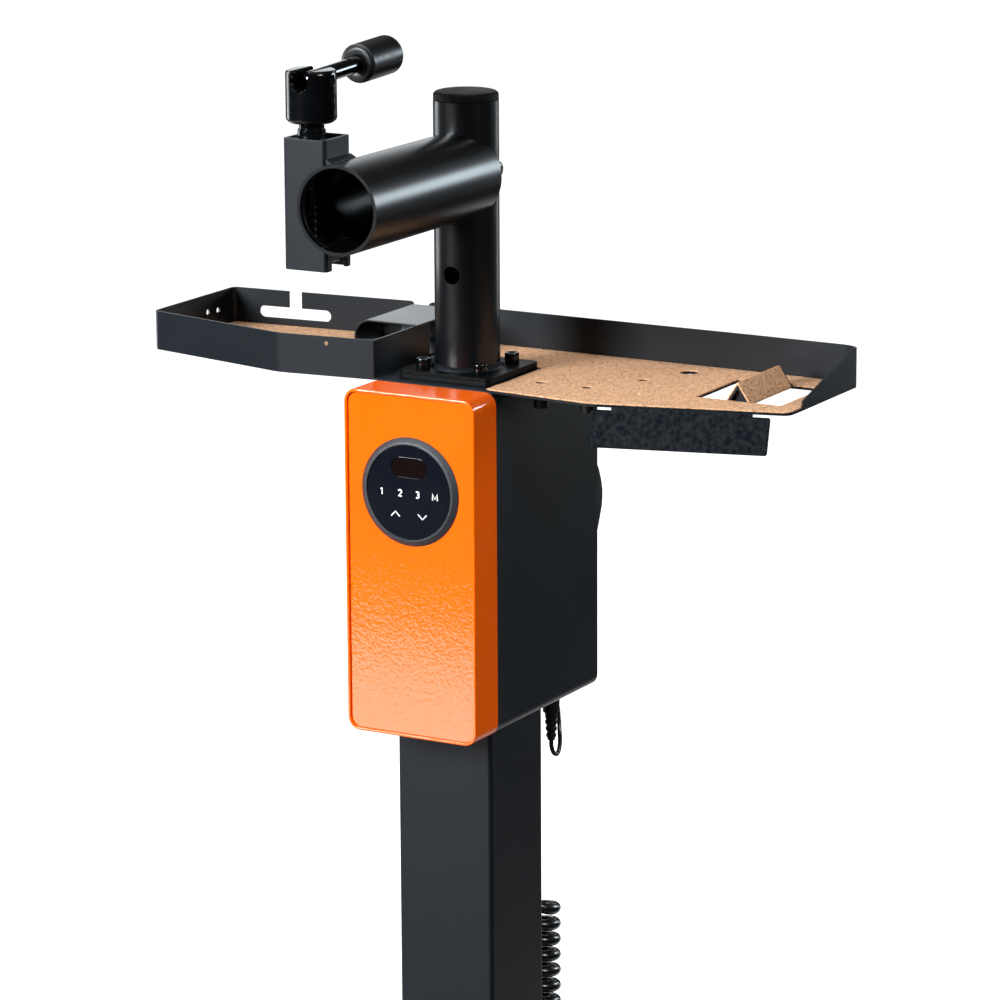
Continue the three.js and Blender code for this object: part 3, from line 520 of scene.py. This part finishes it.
# The housing is one bent and welded steel shell in black powder coat, closed behind by a flat
# panel with four small screws.
dress(["housing_shell"], satin_coat, 0.5)
dress(["rear_panel"], satin_coat, 0.5)
screws = bmesh.new()
panel_back = 107.5
for x in (-44, 44):
    for z in (-247, -12):
        face_back = Matrix.Translation((x, panel_back, z)) @ Matrix.Rotation(-math.pi / 2, 4, "X")
        head = turned(
            [(0, -0.5), (3.4, -0.5), (3.4, 0.6), (2.6, 1.7), (1.5, 2.0), (1.5, 0.9), (0, 0.9)], 32
        )
        make_hexagonal(head, 1.5, 1.25, 0.9, 2.0)
        bmesh.ops.transform(head, matrix=face_back, verts=head.verts)
        mesh = bpy.data.meshes.new("screw")
        head.to_mesh(mesh)
        head.free()
        screws.from_mesh(mesh)
        bpy.data.meshes.remove(mesh)
new_piece(screws, "rear_panel_screws", "head", zinc)


# The cover is a deep frame of sheet steel with a panel set a little behind its rim, all in
# glossy orange enamel with a peel like an orange's. The panel has one round hole.
cover_half_width, cover_bottom, cover_top, cover_corner = 54.5, -259.1, -0.6, 10.0
cover_front, housing_front = -87.8, -54.6
cover_wall, rim_round = 2.2, 1.0
panel_front = cover_front + 2.0
dial_x, dial_z = 0.0, -73.3
to_front = Matrix.Rotation(math.pi / 2, 4, "X")


def noise_over(tree, per_metre, detail, rough=0.5):
    """Noise over the object's own coordinates."""
    place = node(tree, "TexCoord")
    inputs = {"Scale": per_metre, "Detail": detail, "Roughness": rough}
    return node(tree, "TexNoise", {"Vector": place.outputs["Object"], **inputs})


def enamel(name, base, depth):
    made, tree, shader = material(
        name,
        base,
        0.26,
        Coat_Weight=0.24,
        Coat_IOR=2.5,
        Coat_Roughness=0.035,
        Specular_IOR_Level=0.06,
    )
    peel = noise_over(tree, 400.0, 1.0, 0.55)
    fine = noise_over(tree, 1000.0, 2.0)
    both = node(
        tree,
        "Math",
        {0: fine.outputs["Fac"], 1: 0.25, 2: peel.outputs["Fac"]},
        operation="MULTIPLY_ADD",
    )
    bump = node(tree, "Bump", {"Height": both.outputs[0], "Distance": depth, "Strength": 1.0})
    tree.links.new(bump.outputs["Normal"], shader.inputs["Normal"])
    tree.links.new(bump.outputs["Normal"], shader.inputs["Coat Normal"])
    add_handling(tree, shader, 30.0, 0.2, 0.32)
    darker = (*[c * 0.9 for c in base], 1.0)
    lighter = (*[min(1, c * 1.08) for c in base], 1.0)
    tree.links.new(mixed(tree, peel.outputs["Fac"], darker, lighter), shader.inputs["Base Color"])
    return made


orange = enamel("orange_enamel", (0.92, 0.122, 0.001), 0.00007)


def cover_outline(y, inset=0.0):
    """A mesh with one face in the cover's outline, or inside it by the inset."""
    bm = bmesh.new()
    half, low, high = cover_half_width - inset, cover_bottom + inset, cover_top - inset
    outline = ((-half, low), (half, low), (half, high), (-half, high))
    corners = [bm.verts.new((x, y, z)) for x, z in outline]
    bm.faces.new(corners)
    bmesh.ops.bevel(
        bm, geom=corners, offset=cover_corner - inset, offset_type="OFFSET", segments=14,
        profile=0.5, affect="VERTICES", material=-1,
    )
    bm.faces.ensure_lookup_table()
    return bm, bm.faces[0]


def drawn_forward(bm, face, y):
    """Extrudes a face to the plane at y, and returns the new front face."""
    grown = bmesh.ops.extrude_face_region(bm, geom=[face])["geom"]
    front = next(part for part in grown if isinstance(part, bmesh.types.BMFace))
    for vert in front.verts:
        vert.co.y = y
    if front.normal.y > 0:
        front.normal_flip()
    return front


def step_in(bm, face, thickness, depth):
    bmesh.ops.inset_region(
        bm, faces=[face], thickness=thickness, depth=depth, use_even_offset=True, use_boundary=True
    )


def round_over(bm, face, radius, steps, inward=False):
    """Steps a face round a quarter circle: forward over an outer edge, or back at an inner."""
    for i in range(steps):
        a, b = math.pi / 2 * i / steps, math.pi / 2 * (i + 1) / steps
        across = radius * (math.cos(a) - math.cos(b))
        along = radius * (math.sin(b) - math.sin(a))
        if inward:
            step_in(bm, face, along, -across)
        else:
            step_in(bm, face, across, along)


def applied(piece):
    """Bakes a piece's modifiers into its mesh."""
    bpy.context.view_layer.update()
    seen = piece.evaluated_get(bpy.context.evaluated_depsgraph_get())
    mesh = bpy.data.meshes.new_from_object(seen)
    mesh.name = piece.name
    piece.modifiers.clear()
    piece.data = mesh
    return piece


def carved(piece, cutters, bevel=0.0):
    """Takes cutter shapes, given as bmeshes in millimetres, out of a piece."""
    tools = []
    for cutter in cutters:
        tool = bpy.data.objects.new("cutter", mesh_in_metres("cutter", cutter))
        bpy.context.scene.collection.objects.link(tool)
        tools.append(tool)
        hole = piece.modifiers.new("hole", "BOOLEAN")
        hole.operation = "DIFFERENCE"
        hole.solver = "EXACT"
        hole.object = tool
    applied(piece)
    for tool in tools:
        mesh = tool.data
        bpy.data.objects.remove(tool)
        bpy.data.meshes.remove(mesh)
    piece.data.shade_smooth()
    piece.data.set_sharp_from_angle(angle=math.radians(33))
    if bevel:
        soften(piece, bevel, from_cad=False)
    return piece


def rod(radius, low, high, place, steps=48):
    return turned([(0, low), (radius, low), (radius, high), (0, high)], steps, place)


frame_bm, back_face = cover_outline(housing_front)
rim_face = drawn_forward(frame_bm, back_face, cover_front + rim_round)
round_over(frame_bm, rim_face, rim_round, 5)
step_in(frame_bm, rim_face, cover_wall - rim_round - 0.5, 0.0)
round_over(frame_bm, rim_face, 0.5, 3, True)
step_in(frame_bm, rim_face, 0.01, cover_front + 0.5 - housing_front)
loops = [edge for face in (back_face, rim_face) for edge in face.edges]
bmesh.ops.delete(frame_bm, geom=[back_face, rim_face], context="FACES_ONLY")
bmesh.ops.bridge_loops(frame_bm, edges=loops)
bmesh.ops.recalc_face_normals(frame_bm, faces=frame_bm.faces)
sides = new_piece(frame_bm, "cover_sides", "head", orange, smooth=50.0,
                  replaces=["cover_frame"])
soften(sides, 0, from_cad=False)
front_bm, back_face = cover_outline(panel_front + 2.0, cover_wall + 0.1)
front_face = drawn_forward(front_bm, back_face, panel_front + 0.4)
round_over(front_bm, front_face, 0.4, 3)
bmesh.ops.recalc_face_normals(front_bm, faces=front_bm.faces)
front = new_piece(front_bm, "cover_front", "head", orange, replaces=["cover_panel"])
dial_hole = rod(32.0, 70, 100, Matrix.Translation((dial_x, 0, dial_z)) @ to_front, 128)
carved(front, [dial_hole])
soften(front, 0, from_cad=False)
dress(["cover_panel"], orange, 0.7)


# The touch control: a turned plastic ring with a grained bevel, a smooth face with printed
# marks, and a dark window over the display.
grained, tree, shader = material("grained_plastic", (0.02, 0.024, 0.029), 0.38)
add_grain(tree, shader, 1100.0, 0.0003, 0.75)
add_handling(tree, shader, 40.0, 0.34, 0.46)
ring = turned(
    [(35.2, 0), (40.4, 0), (40.6, 0.3), (40.5, 0.6), (40.1, 0.9), (37.3, 3.05), (36.8, 3.3),
     (36.3, 3.4), (35.5, 3.35), (35.15, 3.0), (35.0, 2.4), (35.2, 0)],
    160, Matrix.Translation((dial_x, panel_front, dial_z)) @ to_front,
)
new_piece(ring, "control_ring", "head", grained, replaces=["control_bezel"])
face_plastic, tree, shader = material(
    "control_face", (0.0028, 0.0043, 0.0078), 0.16, Specular_IOR_Level=0.12
)
add_grain(tree, shader, 2200.0, 0.000015)
add_handling(tree, shader, 50.0, 0.13, 0.18)
dress(["control_face"], face_plastic, 0.5)
dress(["control_box"], plastic, 0.6)
window, tree, shader = material(
    "display_window", (0.004, 0.0008, 0.0005), 0.05, Coat_Weight=0.6, Coat_Roughness=0.02
)
add_grain(tree, shader, 300.0, 0.000004)
add_handling(tree, shader, 60.0, 0.04, 0.1)
dress(["display_window"], window, 0.2)

print_ink, tree, shader = material("printed_marks", (0.78, 0.78, 0.76), 0.5)
add_grain(tree, shader, 3000.0, 0.00001)
add_handling(tree, shader, 200.0, 0.45, 0.6)
face_front = panel_front - 2.4
marks = bmesh.new()
digit, chevron = 2.35, 3.6


def bow(x, z, radius, low, high):
    """Points on an arc, with angles in degrees."""
    return [
        (x + radius * math.cos(math.radians(low + (high - low) * i / 8)),
         z + radius * math.sin(math.radians(low + (high - low) * i / 8)))
        for i in range(9)
    ]


one = [(-0.9, 1.35), (0.25, digit), (0.25, -digit)]
two = [*bow(0, 1.0, 1.3, 165, -35), (-1.35, -digit), (1.4, -digit)]
three = [*bow(0, 1.15, 1.15, 150, -80), *bow(0, -1.1, 1.25, 80, -150)]
letter = [(-2.0, -digit), (-1.9, digit), (0, -1.5), (1.9, digit), (2.0, -digit)]
up = [(-chevron, -chevron * 0.5), (0, chevron * 0.5), (chevron, -chevron * 0.5)]
down = [(u, -v) for u, v in up]
flatten = Matrix.Diagonal((1, 1, 0.06, 1))
for outline, x, z, width in (
    (one, -22.75, -74.4, 1.15), (two, -7.3, -74.2, 1.15), (three, 7.25, -74.3, 1.15),
    (letter, 21.95, -74.6, 1.1), (up, -11.35, -90.2, 0.95), (down, 11.25, -90.6, 0.95),
):
    stroke = tube_along("mark", [Vector((u, v, 0)) for u, v in outline], width)
    stroke.data.transform(Matrix.Translation((x, face_front, z)) @ to_front @ flatten)
    marks.from_mesh(stroke.data)
    used = stroke.data
    bpy.data.objects.remove(stroke)
    bpy.data.meshes.remove(used)
new_piece(marks, "control_marks", "head", print_ink)


# The tray is cut and bent from one steel sheet. Two windows leave a strip that is bent up into
# a ridge. A C-shaped bracket lies on the inner wall, and a magnet bar hangs under the edge.
dress(["tray"], sheet_coat, 0.35)
bracket_coat = powder_coat(
    "bracket_coat", (0.007, 0.0075, 0.0085), 0.26, 0.34, depth=0.00001, level=0.55
)
dress(["tray_bracket"], bracket_coat, 0.35)
mottled, tree, shader = material(
    "magnet_bar_coat", (0.0036, 0.0056, 0.008), 0.4, Specular_IOR_Level=0.25
)
blotch = noise_over(tree, 260.0, 4.0, 0.65)
bump = node(tree, "Bump", {"Height": blotch.outputs["Fac"], "Distance": 0.00015})
tree.links.new(bump.outputs["Normal"], shader.inputs["Normal"])
shine = remap(tree, blotch.outputs["Fac"], 0.35, 0.65, 0.2, 0.6)
tree.links.new(shine, shader.inputs["Roughness"])
dress(["magnet_bar"], mottled, 0.5)
dress(["bracket_screw_1", "bracket_screw_2"], zinc, 0.2)
dress(["tool_sleeve_1", "tool_sleeve_2"], plastic, 0.25)


# The mats are sheets of pressed cork, cut to the floor of the tray and glued down. Their
# granules show on top and crumble a little along the cut edges. A narrow one is folded over
# the ridge.
cork, tree, shader = material("pressed_cork", (0.5, 0.27, 0.12), 0.85, Specular_IOR_Level=0.2)
place = node(tree, "TexCoord")
warp = noise_over(tree, 420.0, 2.0)
warp_width = 0.0016
bent = node(
    tree,
    "VectorMath",
    {0: warp.outputs["Color"], 1: (warp_width,) * 3, 2: place.outputs["Object"]},
    operation="MULTIPLY_ADD",
)
granules = {"Vector": bent.outputs[0], "Scale": 800.0}
granule = node(tree, "TexVoronoi", granules)
seam = node(tree, "TexVoronoi", granules, feature="DISTANCE_TO_EDGE")
single = node(tree, "SeparateColor", {"Color": granule.outputs["Color"]})
tone = node(tree, "ValToRGB", {"Fac": single.outputs["Red"]})
stops = tone.color_ramp.elements
stops[0].position, stops[0].color = 0.0, (0.17, 0.085, 0.045, 1)
stops[1].position, stops[1].color = 1.0, (0.82, 0.5, 0.31, 1)
for position, colour in (
    (0.1, (0.38, 0.2, 0.105, 1)),
    (0.3, (0.56, 0.31, 0.17, 1)),
    (0.75, (0.68, 0.4, 0.23, 1)),
):
    stop = stops.new(position)
    stop.color = colour
crack = remap(tree, seam.outputs["Distance"], 0.0, 0.12, 0.84, 1.0)
darkened = mixed(tree, 1.0, tone.outputs["Color"], crack, blend_type="MULTIPLY")
stain = noise_over(tree, 22.0, 5.0)
worn = times(tree, stain.outputs["Fac"], 0.5)
stained = mixed(tree, worn, darkened, (0.6, 0.345, 0.195, 1))
tree.links.new(stained, shader.inputs["Base Color"])
lumps = node(
    tree, "Math", {0: single.outputs["Green"], 1: 0.4, 2: crack}, operation="MULTIPLY_ADD"
)
bump = node(tree, "Bump", {"Height": lumps.outputs[0], "Distance": 0.0003, "Strength": 0.8})
tree.links.new(bump.outputs["Normal"], shader.inputs["Normal"])


crumble = bpy.data.textures.new("crumble", "CLOUDS")
crumble.noise_scale = 0.0022
crumble.noise_depth = 3


def cork_mat(name, node_name, voxel, height, stretch=1.0):
    """Roughens a mat's surface. A thin mat is made thicker first and set back after."""
    bm = bmesh.new()
    bm.from_mesh(nodes[node_name].data)
    bmesh.ops.remove_doubles(bm, verts=bm.verts, dist=0.00001)
    to_millimetres = Matrix.Diagonal((1000, 1000, 1000 * stretch, 1))
    from_deck = Matrix.Translation((0, 0, -deck_height / 1000))
    bmesh.ops.transform(bm, matrix=to_millimetres @ from_deck, verts=bm.verts)
    made = new_piece(bm, name, "head", cork, replaces=[node_name])
    grid = made.modifiers.new("granules", "REMESH")
    grid.mode = "VOXEL"
    grid.voxel_size = voxel / 1000
    grid.use_smooth_shade = True
    rough = made.modifiers.new("crumbled", "DISPLACE")
    rough.texture = crumble
    rough.texture_coords = "LOCAL"
    rough.strength = height / 1000
    rough.mid_level = 0.6
    applied(made)
    at_deck = Matrix.Translation((0, 0, deck_height / 1000))
    made.data.transform(at_deck @ Matrix.Diagonal((1, 1, 1 / stretch, 1)) @ at_deck.inverted())
    made.data.materials.clear()
    made.data.materials.append(cork)
    return made


cork_mat("cork_mat_left", "cork_left", 0.85, 0.6, 2.2)
cork_mat("cork_mat_right", "cork_right", 0.9, 0.6, 2.2)
cork_mat("cork_mat_ridge", "cork_ridge", 0.5, 0.4)


# The post stands on a welded flange, over a loose plate that clamps the tray. Four black
# socket-head screws go down through both into the column.
flange_coat = powder_coat("flange_coat", (0.0012, 0.0016, 0.002), 0.4, 0.46, level=0.08)
dress(["tray_clamp_plate", "post_flange"], flange_coat, 0.5)
black_steel, tree, shader = material(
    "black_oxide", (0.0016, 0.002, 0.0025), 0.16, Specular_IOR_Level=0.38
)
add_grain(tree, shader, 1600.0, 0.00001)
add_handling(tree, shader, 70.0, 0.12, 0.22)
flange_top = 5.0
for number, (x, y) in enumerate(((-24, -24), (24, -24), (24, 24), (-24, 24)), 1):
    screw = turned(
        [(0, -9), (3.6, -9), (4, -8.4), (4, flange_top), (5.2, flange_top), (5.4, flange_top + 0.4),
         (5.4, 12.2), (5.2, 12.7), (4.7, 13.0), (3.3, 13.0), (2.9, 12.6), (2.9, 8.5), (0, 8.1)],
        steps=60,
    )
    make_hexagonal(screw, 2.9, 2.6, 8.5, 12.6)
    bmesh.ops.translate(screw, vec=(x, y, 0), verts=screw.verts)
    new_piece(screw, f"socket_screw_{number}", "head", black_steel,
              replaces=[f"flange_screw_{number}"])


def block(x0, x1, y0, y1, z0, z1):
    bm = bmesh.new()
    bmesh.ops.create_cube(bm, size=1.0)
    bmesh.ops.scale(bm, vec=(x1 - x0, y1 - y0, z1 - z0), verts=bm.verts)
    bmesh.ops.translate(bm, vec=((x0 + x1) / 2, (y0 + y1) / 2, (z0 + z1) / 2), verts=bm.verts)
    return bm


# The post is a length of steel tube with a cross hole for a pin, a plastic cap in its top, and
# a rippled weld all round its foot.
post_radius, post_wall, post_foot, post_top = 24.15, 2.6, 5.0, 203.3
post_bore = post_radius - post_wall
cross_hole_radius, cross_hole_z = 6.75, 76.3
cross_bolt_radius, cross_bolt_y, cross_bolt_z = 4.4, 3, 153
post = new_piece(
    turned([(post_bore, post_foot), (post_radius, post_foot), (post_radius, post_top),
            (post_bore, post_top), (post_bore, post_foot)], 112),
    "post_tube", "head", tube_coat, replaces=["post"],
)
along_y = Matrix.Rotation(math.pi / 2, 4, "X")
along_x = Matrix.Rotation(math.pi / 2, 4, "Y")
at_cross_hole = Matrix.Translation((0, 0, cross_hole_z)) @ along_y
at_cross_bolt = Matrix.Translation((0, cross_bolt_y, cross_bolt_z)) @ along_x
carved(
    post,
    [rod(cross_hole_radius, -40, 40, at_cross_hole), rod(cross_bolt_radius, 10, 40, at_cross_bolt)],
    bevel=0.35,
)
weld_profile = ((-0.3, 0), (3.1, 0), (2.6, 0.9), (1.7, 1.8), (0.8, 2.7), (-0.3, 3.2), (-0.3, 0))
weld_bead = turned([(post_radius + out, post_foot + up) for out, up in weld_profile], 240)
for vert in weld_bead.verts:
    out = math.hypot(vert.co.x, vert.co.y)
    if out > post_radius:
        angle = math.atan2(vert.co.y, vert.co.x)
        ripple = 0.28 * abs(math.sin(angle * 30)) + 0.18 * noise.noise(vert.co * 0.35)
        vert.co.x *= 1 + ripple / out
        vert.co.y *= 1 + ripple / out
new_piece(weld_bead, "post_weld", "head", satin_coat, smooth=60.0)
cap_grain, tree, shader = material(
    "cap_plastic", (0.002, 0.0025, 0.003), 0.55, Specular_IOR_Level=0.06
)
add_grain(tree, shader, 1000.0, 0.0003, 0.7)
add_handling(tree, shader, 40.0, 0.48, 0.6)
cap_rim = post_radius - 0.1
cap_profile = (
    (0, -14), (20.2, -14), (21.2, -12), (21.2, 0.05), (cap_rim - 0.3, 0.05), (cap_rim, 0.5),
    (cap_rim, 3.9), (cap_rim - 0.5, 5.0), (cap_rim - 1.5, 5.9), (cap_rim - 3.0, 6.35), (12, 6.5),
    (0, 6.5),
)
new_piece(
    turned([(radius, post_top + up) for radius, up in cap_profile], 96),
    "post_end_cap", "head", cap_grain, replaces=["post_cap"],
)
new_piece(
    turned([(0, 14), (3.9, 14), (3.9, 24.55), (6, 24.55), (6, 25.0), (5.7, 25.9), (4.8, 26.7),
            (3.4, 27.2), (2.6, 27.3), (2.2, 26.9), (2.2, 25.2), (0, 25.2)], 48, at_cross_bolt),
    "cross_bolt_head", "head", black_steel, replaces=["cross_bolt"],
)


# The socket for the clamp's arm is a wider tube, notched to fit the post and welded to it. The
# square tube of the grip goes down through its front end.
socket_radius, socket_wall, socket_z = 32.4, 2.4, 148.8
socket_bore, near, far = socket_radius - socket_wall, 5.0, 184.0
socket = new_piece(
    turned([(socket_bore, near), (socket_radius, near), (socket_radius, far), (socket_bore, far),
            (socket_bore, near)], 128, Matrix.Translation((0, 0, socket_z)) @ along_y),
    "arm_socket", "head", tube_coat, replaces=["clamp_tube"],
)
round_post = rod(post_radius + 0.3, 100, 190, None, 112)
square_grip = block(-46.6, -11.0, -180.3, -144.7, 100, 200)
carved(socket, [round_post, square_grip], bevel=0.4)
dress(["wedge_housing"], satin_coat, 0.6)
dress(["saddle_gusset"], satin_coat, 0.4)
dress(["upper_wedge", "lower_wedge"], zinc, 0.4)


# The grip's spindle is turned from one bar and blackened: a fork head, a neck, a collar and a
# long screw down through the wedges, with a right-hand thread above and a left-hand one below.
spindle_x, spindle_y, pin_z = -31.0, -165.0, 237.0
at_spindle = Matrix.Translation((spindle_x, spindle_y, 0))
spindle = new_piece(
    turned([(0, 190), (6.0, 190), (6.0, 195.7), (9.6, 195.7), (10, 196.1), (10, 201.4),
            (9.4, 202.2), (9.0, 202.7), (9, 205.8), (9.4, 206.3), (10.2, 206.6), (15.2, 206.8),
            (16.2, 207.3), (17.4, 208.5), (18.0, 209.4), (18.1, 210.2), (18.1, 241.0),
            (17.9, 242.4), (17.1, 243.6), (15.7, 244.2), (0, 244.2)], 96, at_spindle),
    "spindle_head", "spindle", black_steel, replaces=["clamp_spindle"],
)
slot_half, slot_bottom = 7.8, 229.6
slot_cutter = bmesh.new()
slot_outline = (
    (-slot_half, slot_bottom), (slot_half, slot_bottom), (slot_half, 250), (-slot_half, 250)
)
slot_face = slot_cutter.faces.new([slot_cutter.verts.new((x, -30, z)) for x, z in slot_outline])
bmesh.ops.bevel(
    slot_cutter, geom=[v for v in slot_face.verts if v.co.z < 230], offset=slot_half - 0.01,
    offset_type="OFFSET", segments=14, profile=0.5, affect="VERTICES", material=-1,
)
slot_cutter.faces.ensure_lookup_table()
pushed = bmesh.ops.extrude_face_region(slot_cutter, geom=[slot_cutter.faces[0]])["geom"]
far_side = [part for part in pushed if isinstance(part, bmesh.types.BMVert)]
bmesh.ops.translate(slot_cutter, vec=(0, 60, 0), verts=far_side)
bmesh.ops.recalc_face_normals(slot_cutter, faces=slot_cutter.faces)
bmesh.ops.transform(slot_cutter, matrix=at_spindle, verts=slot_cutter.verts)
carved(
    spindle,
    [slot_cutter, rod(3.3, -20, 20, at_spindle @ Matrix.Translation((0, 0, pin_z)) @ along_x, 32)],
    bevel=0.45,
)
thread_low, thread_high, thread_pitch, thread_radius = 107.0, 195.6, 5.5, 6.9
steps = 180
rise = (thread_high - thread_low) / steps
rows = [(thread_radius, thread_low + rise * i) for i in range(steps + 1)]
screw = turned([(0, thread_low), *rows, (0, thread_high)], 48)
for vert in screw.verts:
    if math.hypot(vert.co.x, vert.co.y) > thread_radius - 0.1:
        turn = math.atan2(vert.co.y, vert.co.x) / math.tau
        hand = 1 if vert.co.z > socket_z else -1
        along = ((vert.co.z - socket_z) / thread_pitch - hand * turn) % 1.0
        sink = 0.9 * max(0.0, min(1.0, 4 * abs(along - 0.5) - 0.5)) / thread_radius
        vert.co.x *= 1 - sink
        vert.co.y *= 1 - sink
bmesh.ops.transform(screw, matrix=at_spindle, verts=screw.verts)
new_piece(screw, "spindle_thread", "spindle", black_steel, smooth=50.0)


# The handle swings on a pin in the fork: a round rod with an eye, and a knurled steel grip.
handle_tilt = Matrix.Rotation(math.radians(2.5), 4, "X")
at_pin = Matrix.Translation((spindle_x, spindle_y, pin_z)) @ handle_tilt
polished, tree, shader = material("polished_black_steel", (0.06, 0.062, 0.068), 0.12, 1.0)
add_grain(tree, shader, 900.0, 0.000006)
add_handling(tree, shader, 90.0, 0.09, 0.2)
to_handle = at_pin @ Matrix.Rotation(-math.pi / 2, 4, "X")
eye = [(6 * math.cos(math.radians(a)), 6 * math.sin(math.radians(a))) for a in range(-90, 1, 9)]
handle = new_piece(
    turned([(0, -6), *eye[1:], (6, 62.6), (0, 62.6)], 64, to_handle),
    "handle_bar", "handle", polished, replaces=["handle_rod"],
)
carved(handle, [rod(3.08, -8, 8, at_pin @ along_x, 32)], bevel=0.3)
new_piece(
    turned([(0, -17.4), (2.6, -17.4), (3.0, -17.0), (3.0, 17.0), (2.6, 17.4), (0, 17.4)], 40,
           at_pin @ along_x),
    "handle_pivot", "handle", black_steel, replaces=["handle_pin"],
)
knob_radius, knob_near, knob_length = 14.25, 63.0, 44.5
knurl_start, knurl_end, knurl_rows = 1.8, 3.2, 66
rise = (knob_length - knurl_start - knurl_end) / knurl_rows
rows = [(6.1, 12), (6.1, 0.3), (6.4, 0), (11.2, 0), (11.8, 0.25), (13.2, 1.4)]
rows += [(knob_radius, knurl_start + rise * i) for i in range(knurl_rows + 1)]
rows += [(13.6, 42.3), (12.2, 43.8), (11.4, 44.3), (10.6, knob_length), (0, knob_length)]
knob = turned([(0, 12), *rows], 192)
for vert in knob.verts:
    out = math.hypot(vert.co.x, vert.co.y)
    if out > knob_radius - 0.01:
        angle = math.atan2(vert.co.y, vert.co.x)
        wave = math.sin(angle * 48 + vert.co.z * 3.4) * math.sin(angle * 48 - vert.co.z * 3.4)
        sink = 0.28 * (1 - abs(wave)) / out
        vert.co.x *= 1 - sink
        vert.co.y *= 1 - sink
bmesh.ops.transform(
    knob, matrix=to_handle @ Matrix.Translation((0, 0, knob_near)), verts=knob.verts
)
knurled, tree, shader = material(
    "knurled_steel", (0.0026, 0.003, 0.0036), 0.38, Specular_IOR_Level=0.4
)
add_grain(tree, shader, 1500.0, 0.00002)
add_handling(tree, shader, 70.0, 0.3, 0.44)
new_piece(knob, "knurled_grip", "handle", knurled, smooth=60.0,
          replaces=["handle_knob"])


# The glands and the plug that the cables go through are moulded in black rubber and plastic.
rubber, tree, shader = material(
    "black_rubber", (0.004, 0.004, 0.0045), 0.5, Specular_IOR_Level=0.35
)
add_grain(tree, shader, 1400.0, 0.00003)
add_handling(tree, shader, 50.0, 0.42, 0.55)
dress(["lead_plug", "cord_head_gland"], rubber, 0.25)
dress(["lead_rear_gland"], rubber, 1.6, angle=25.0)
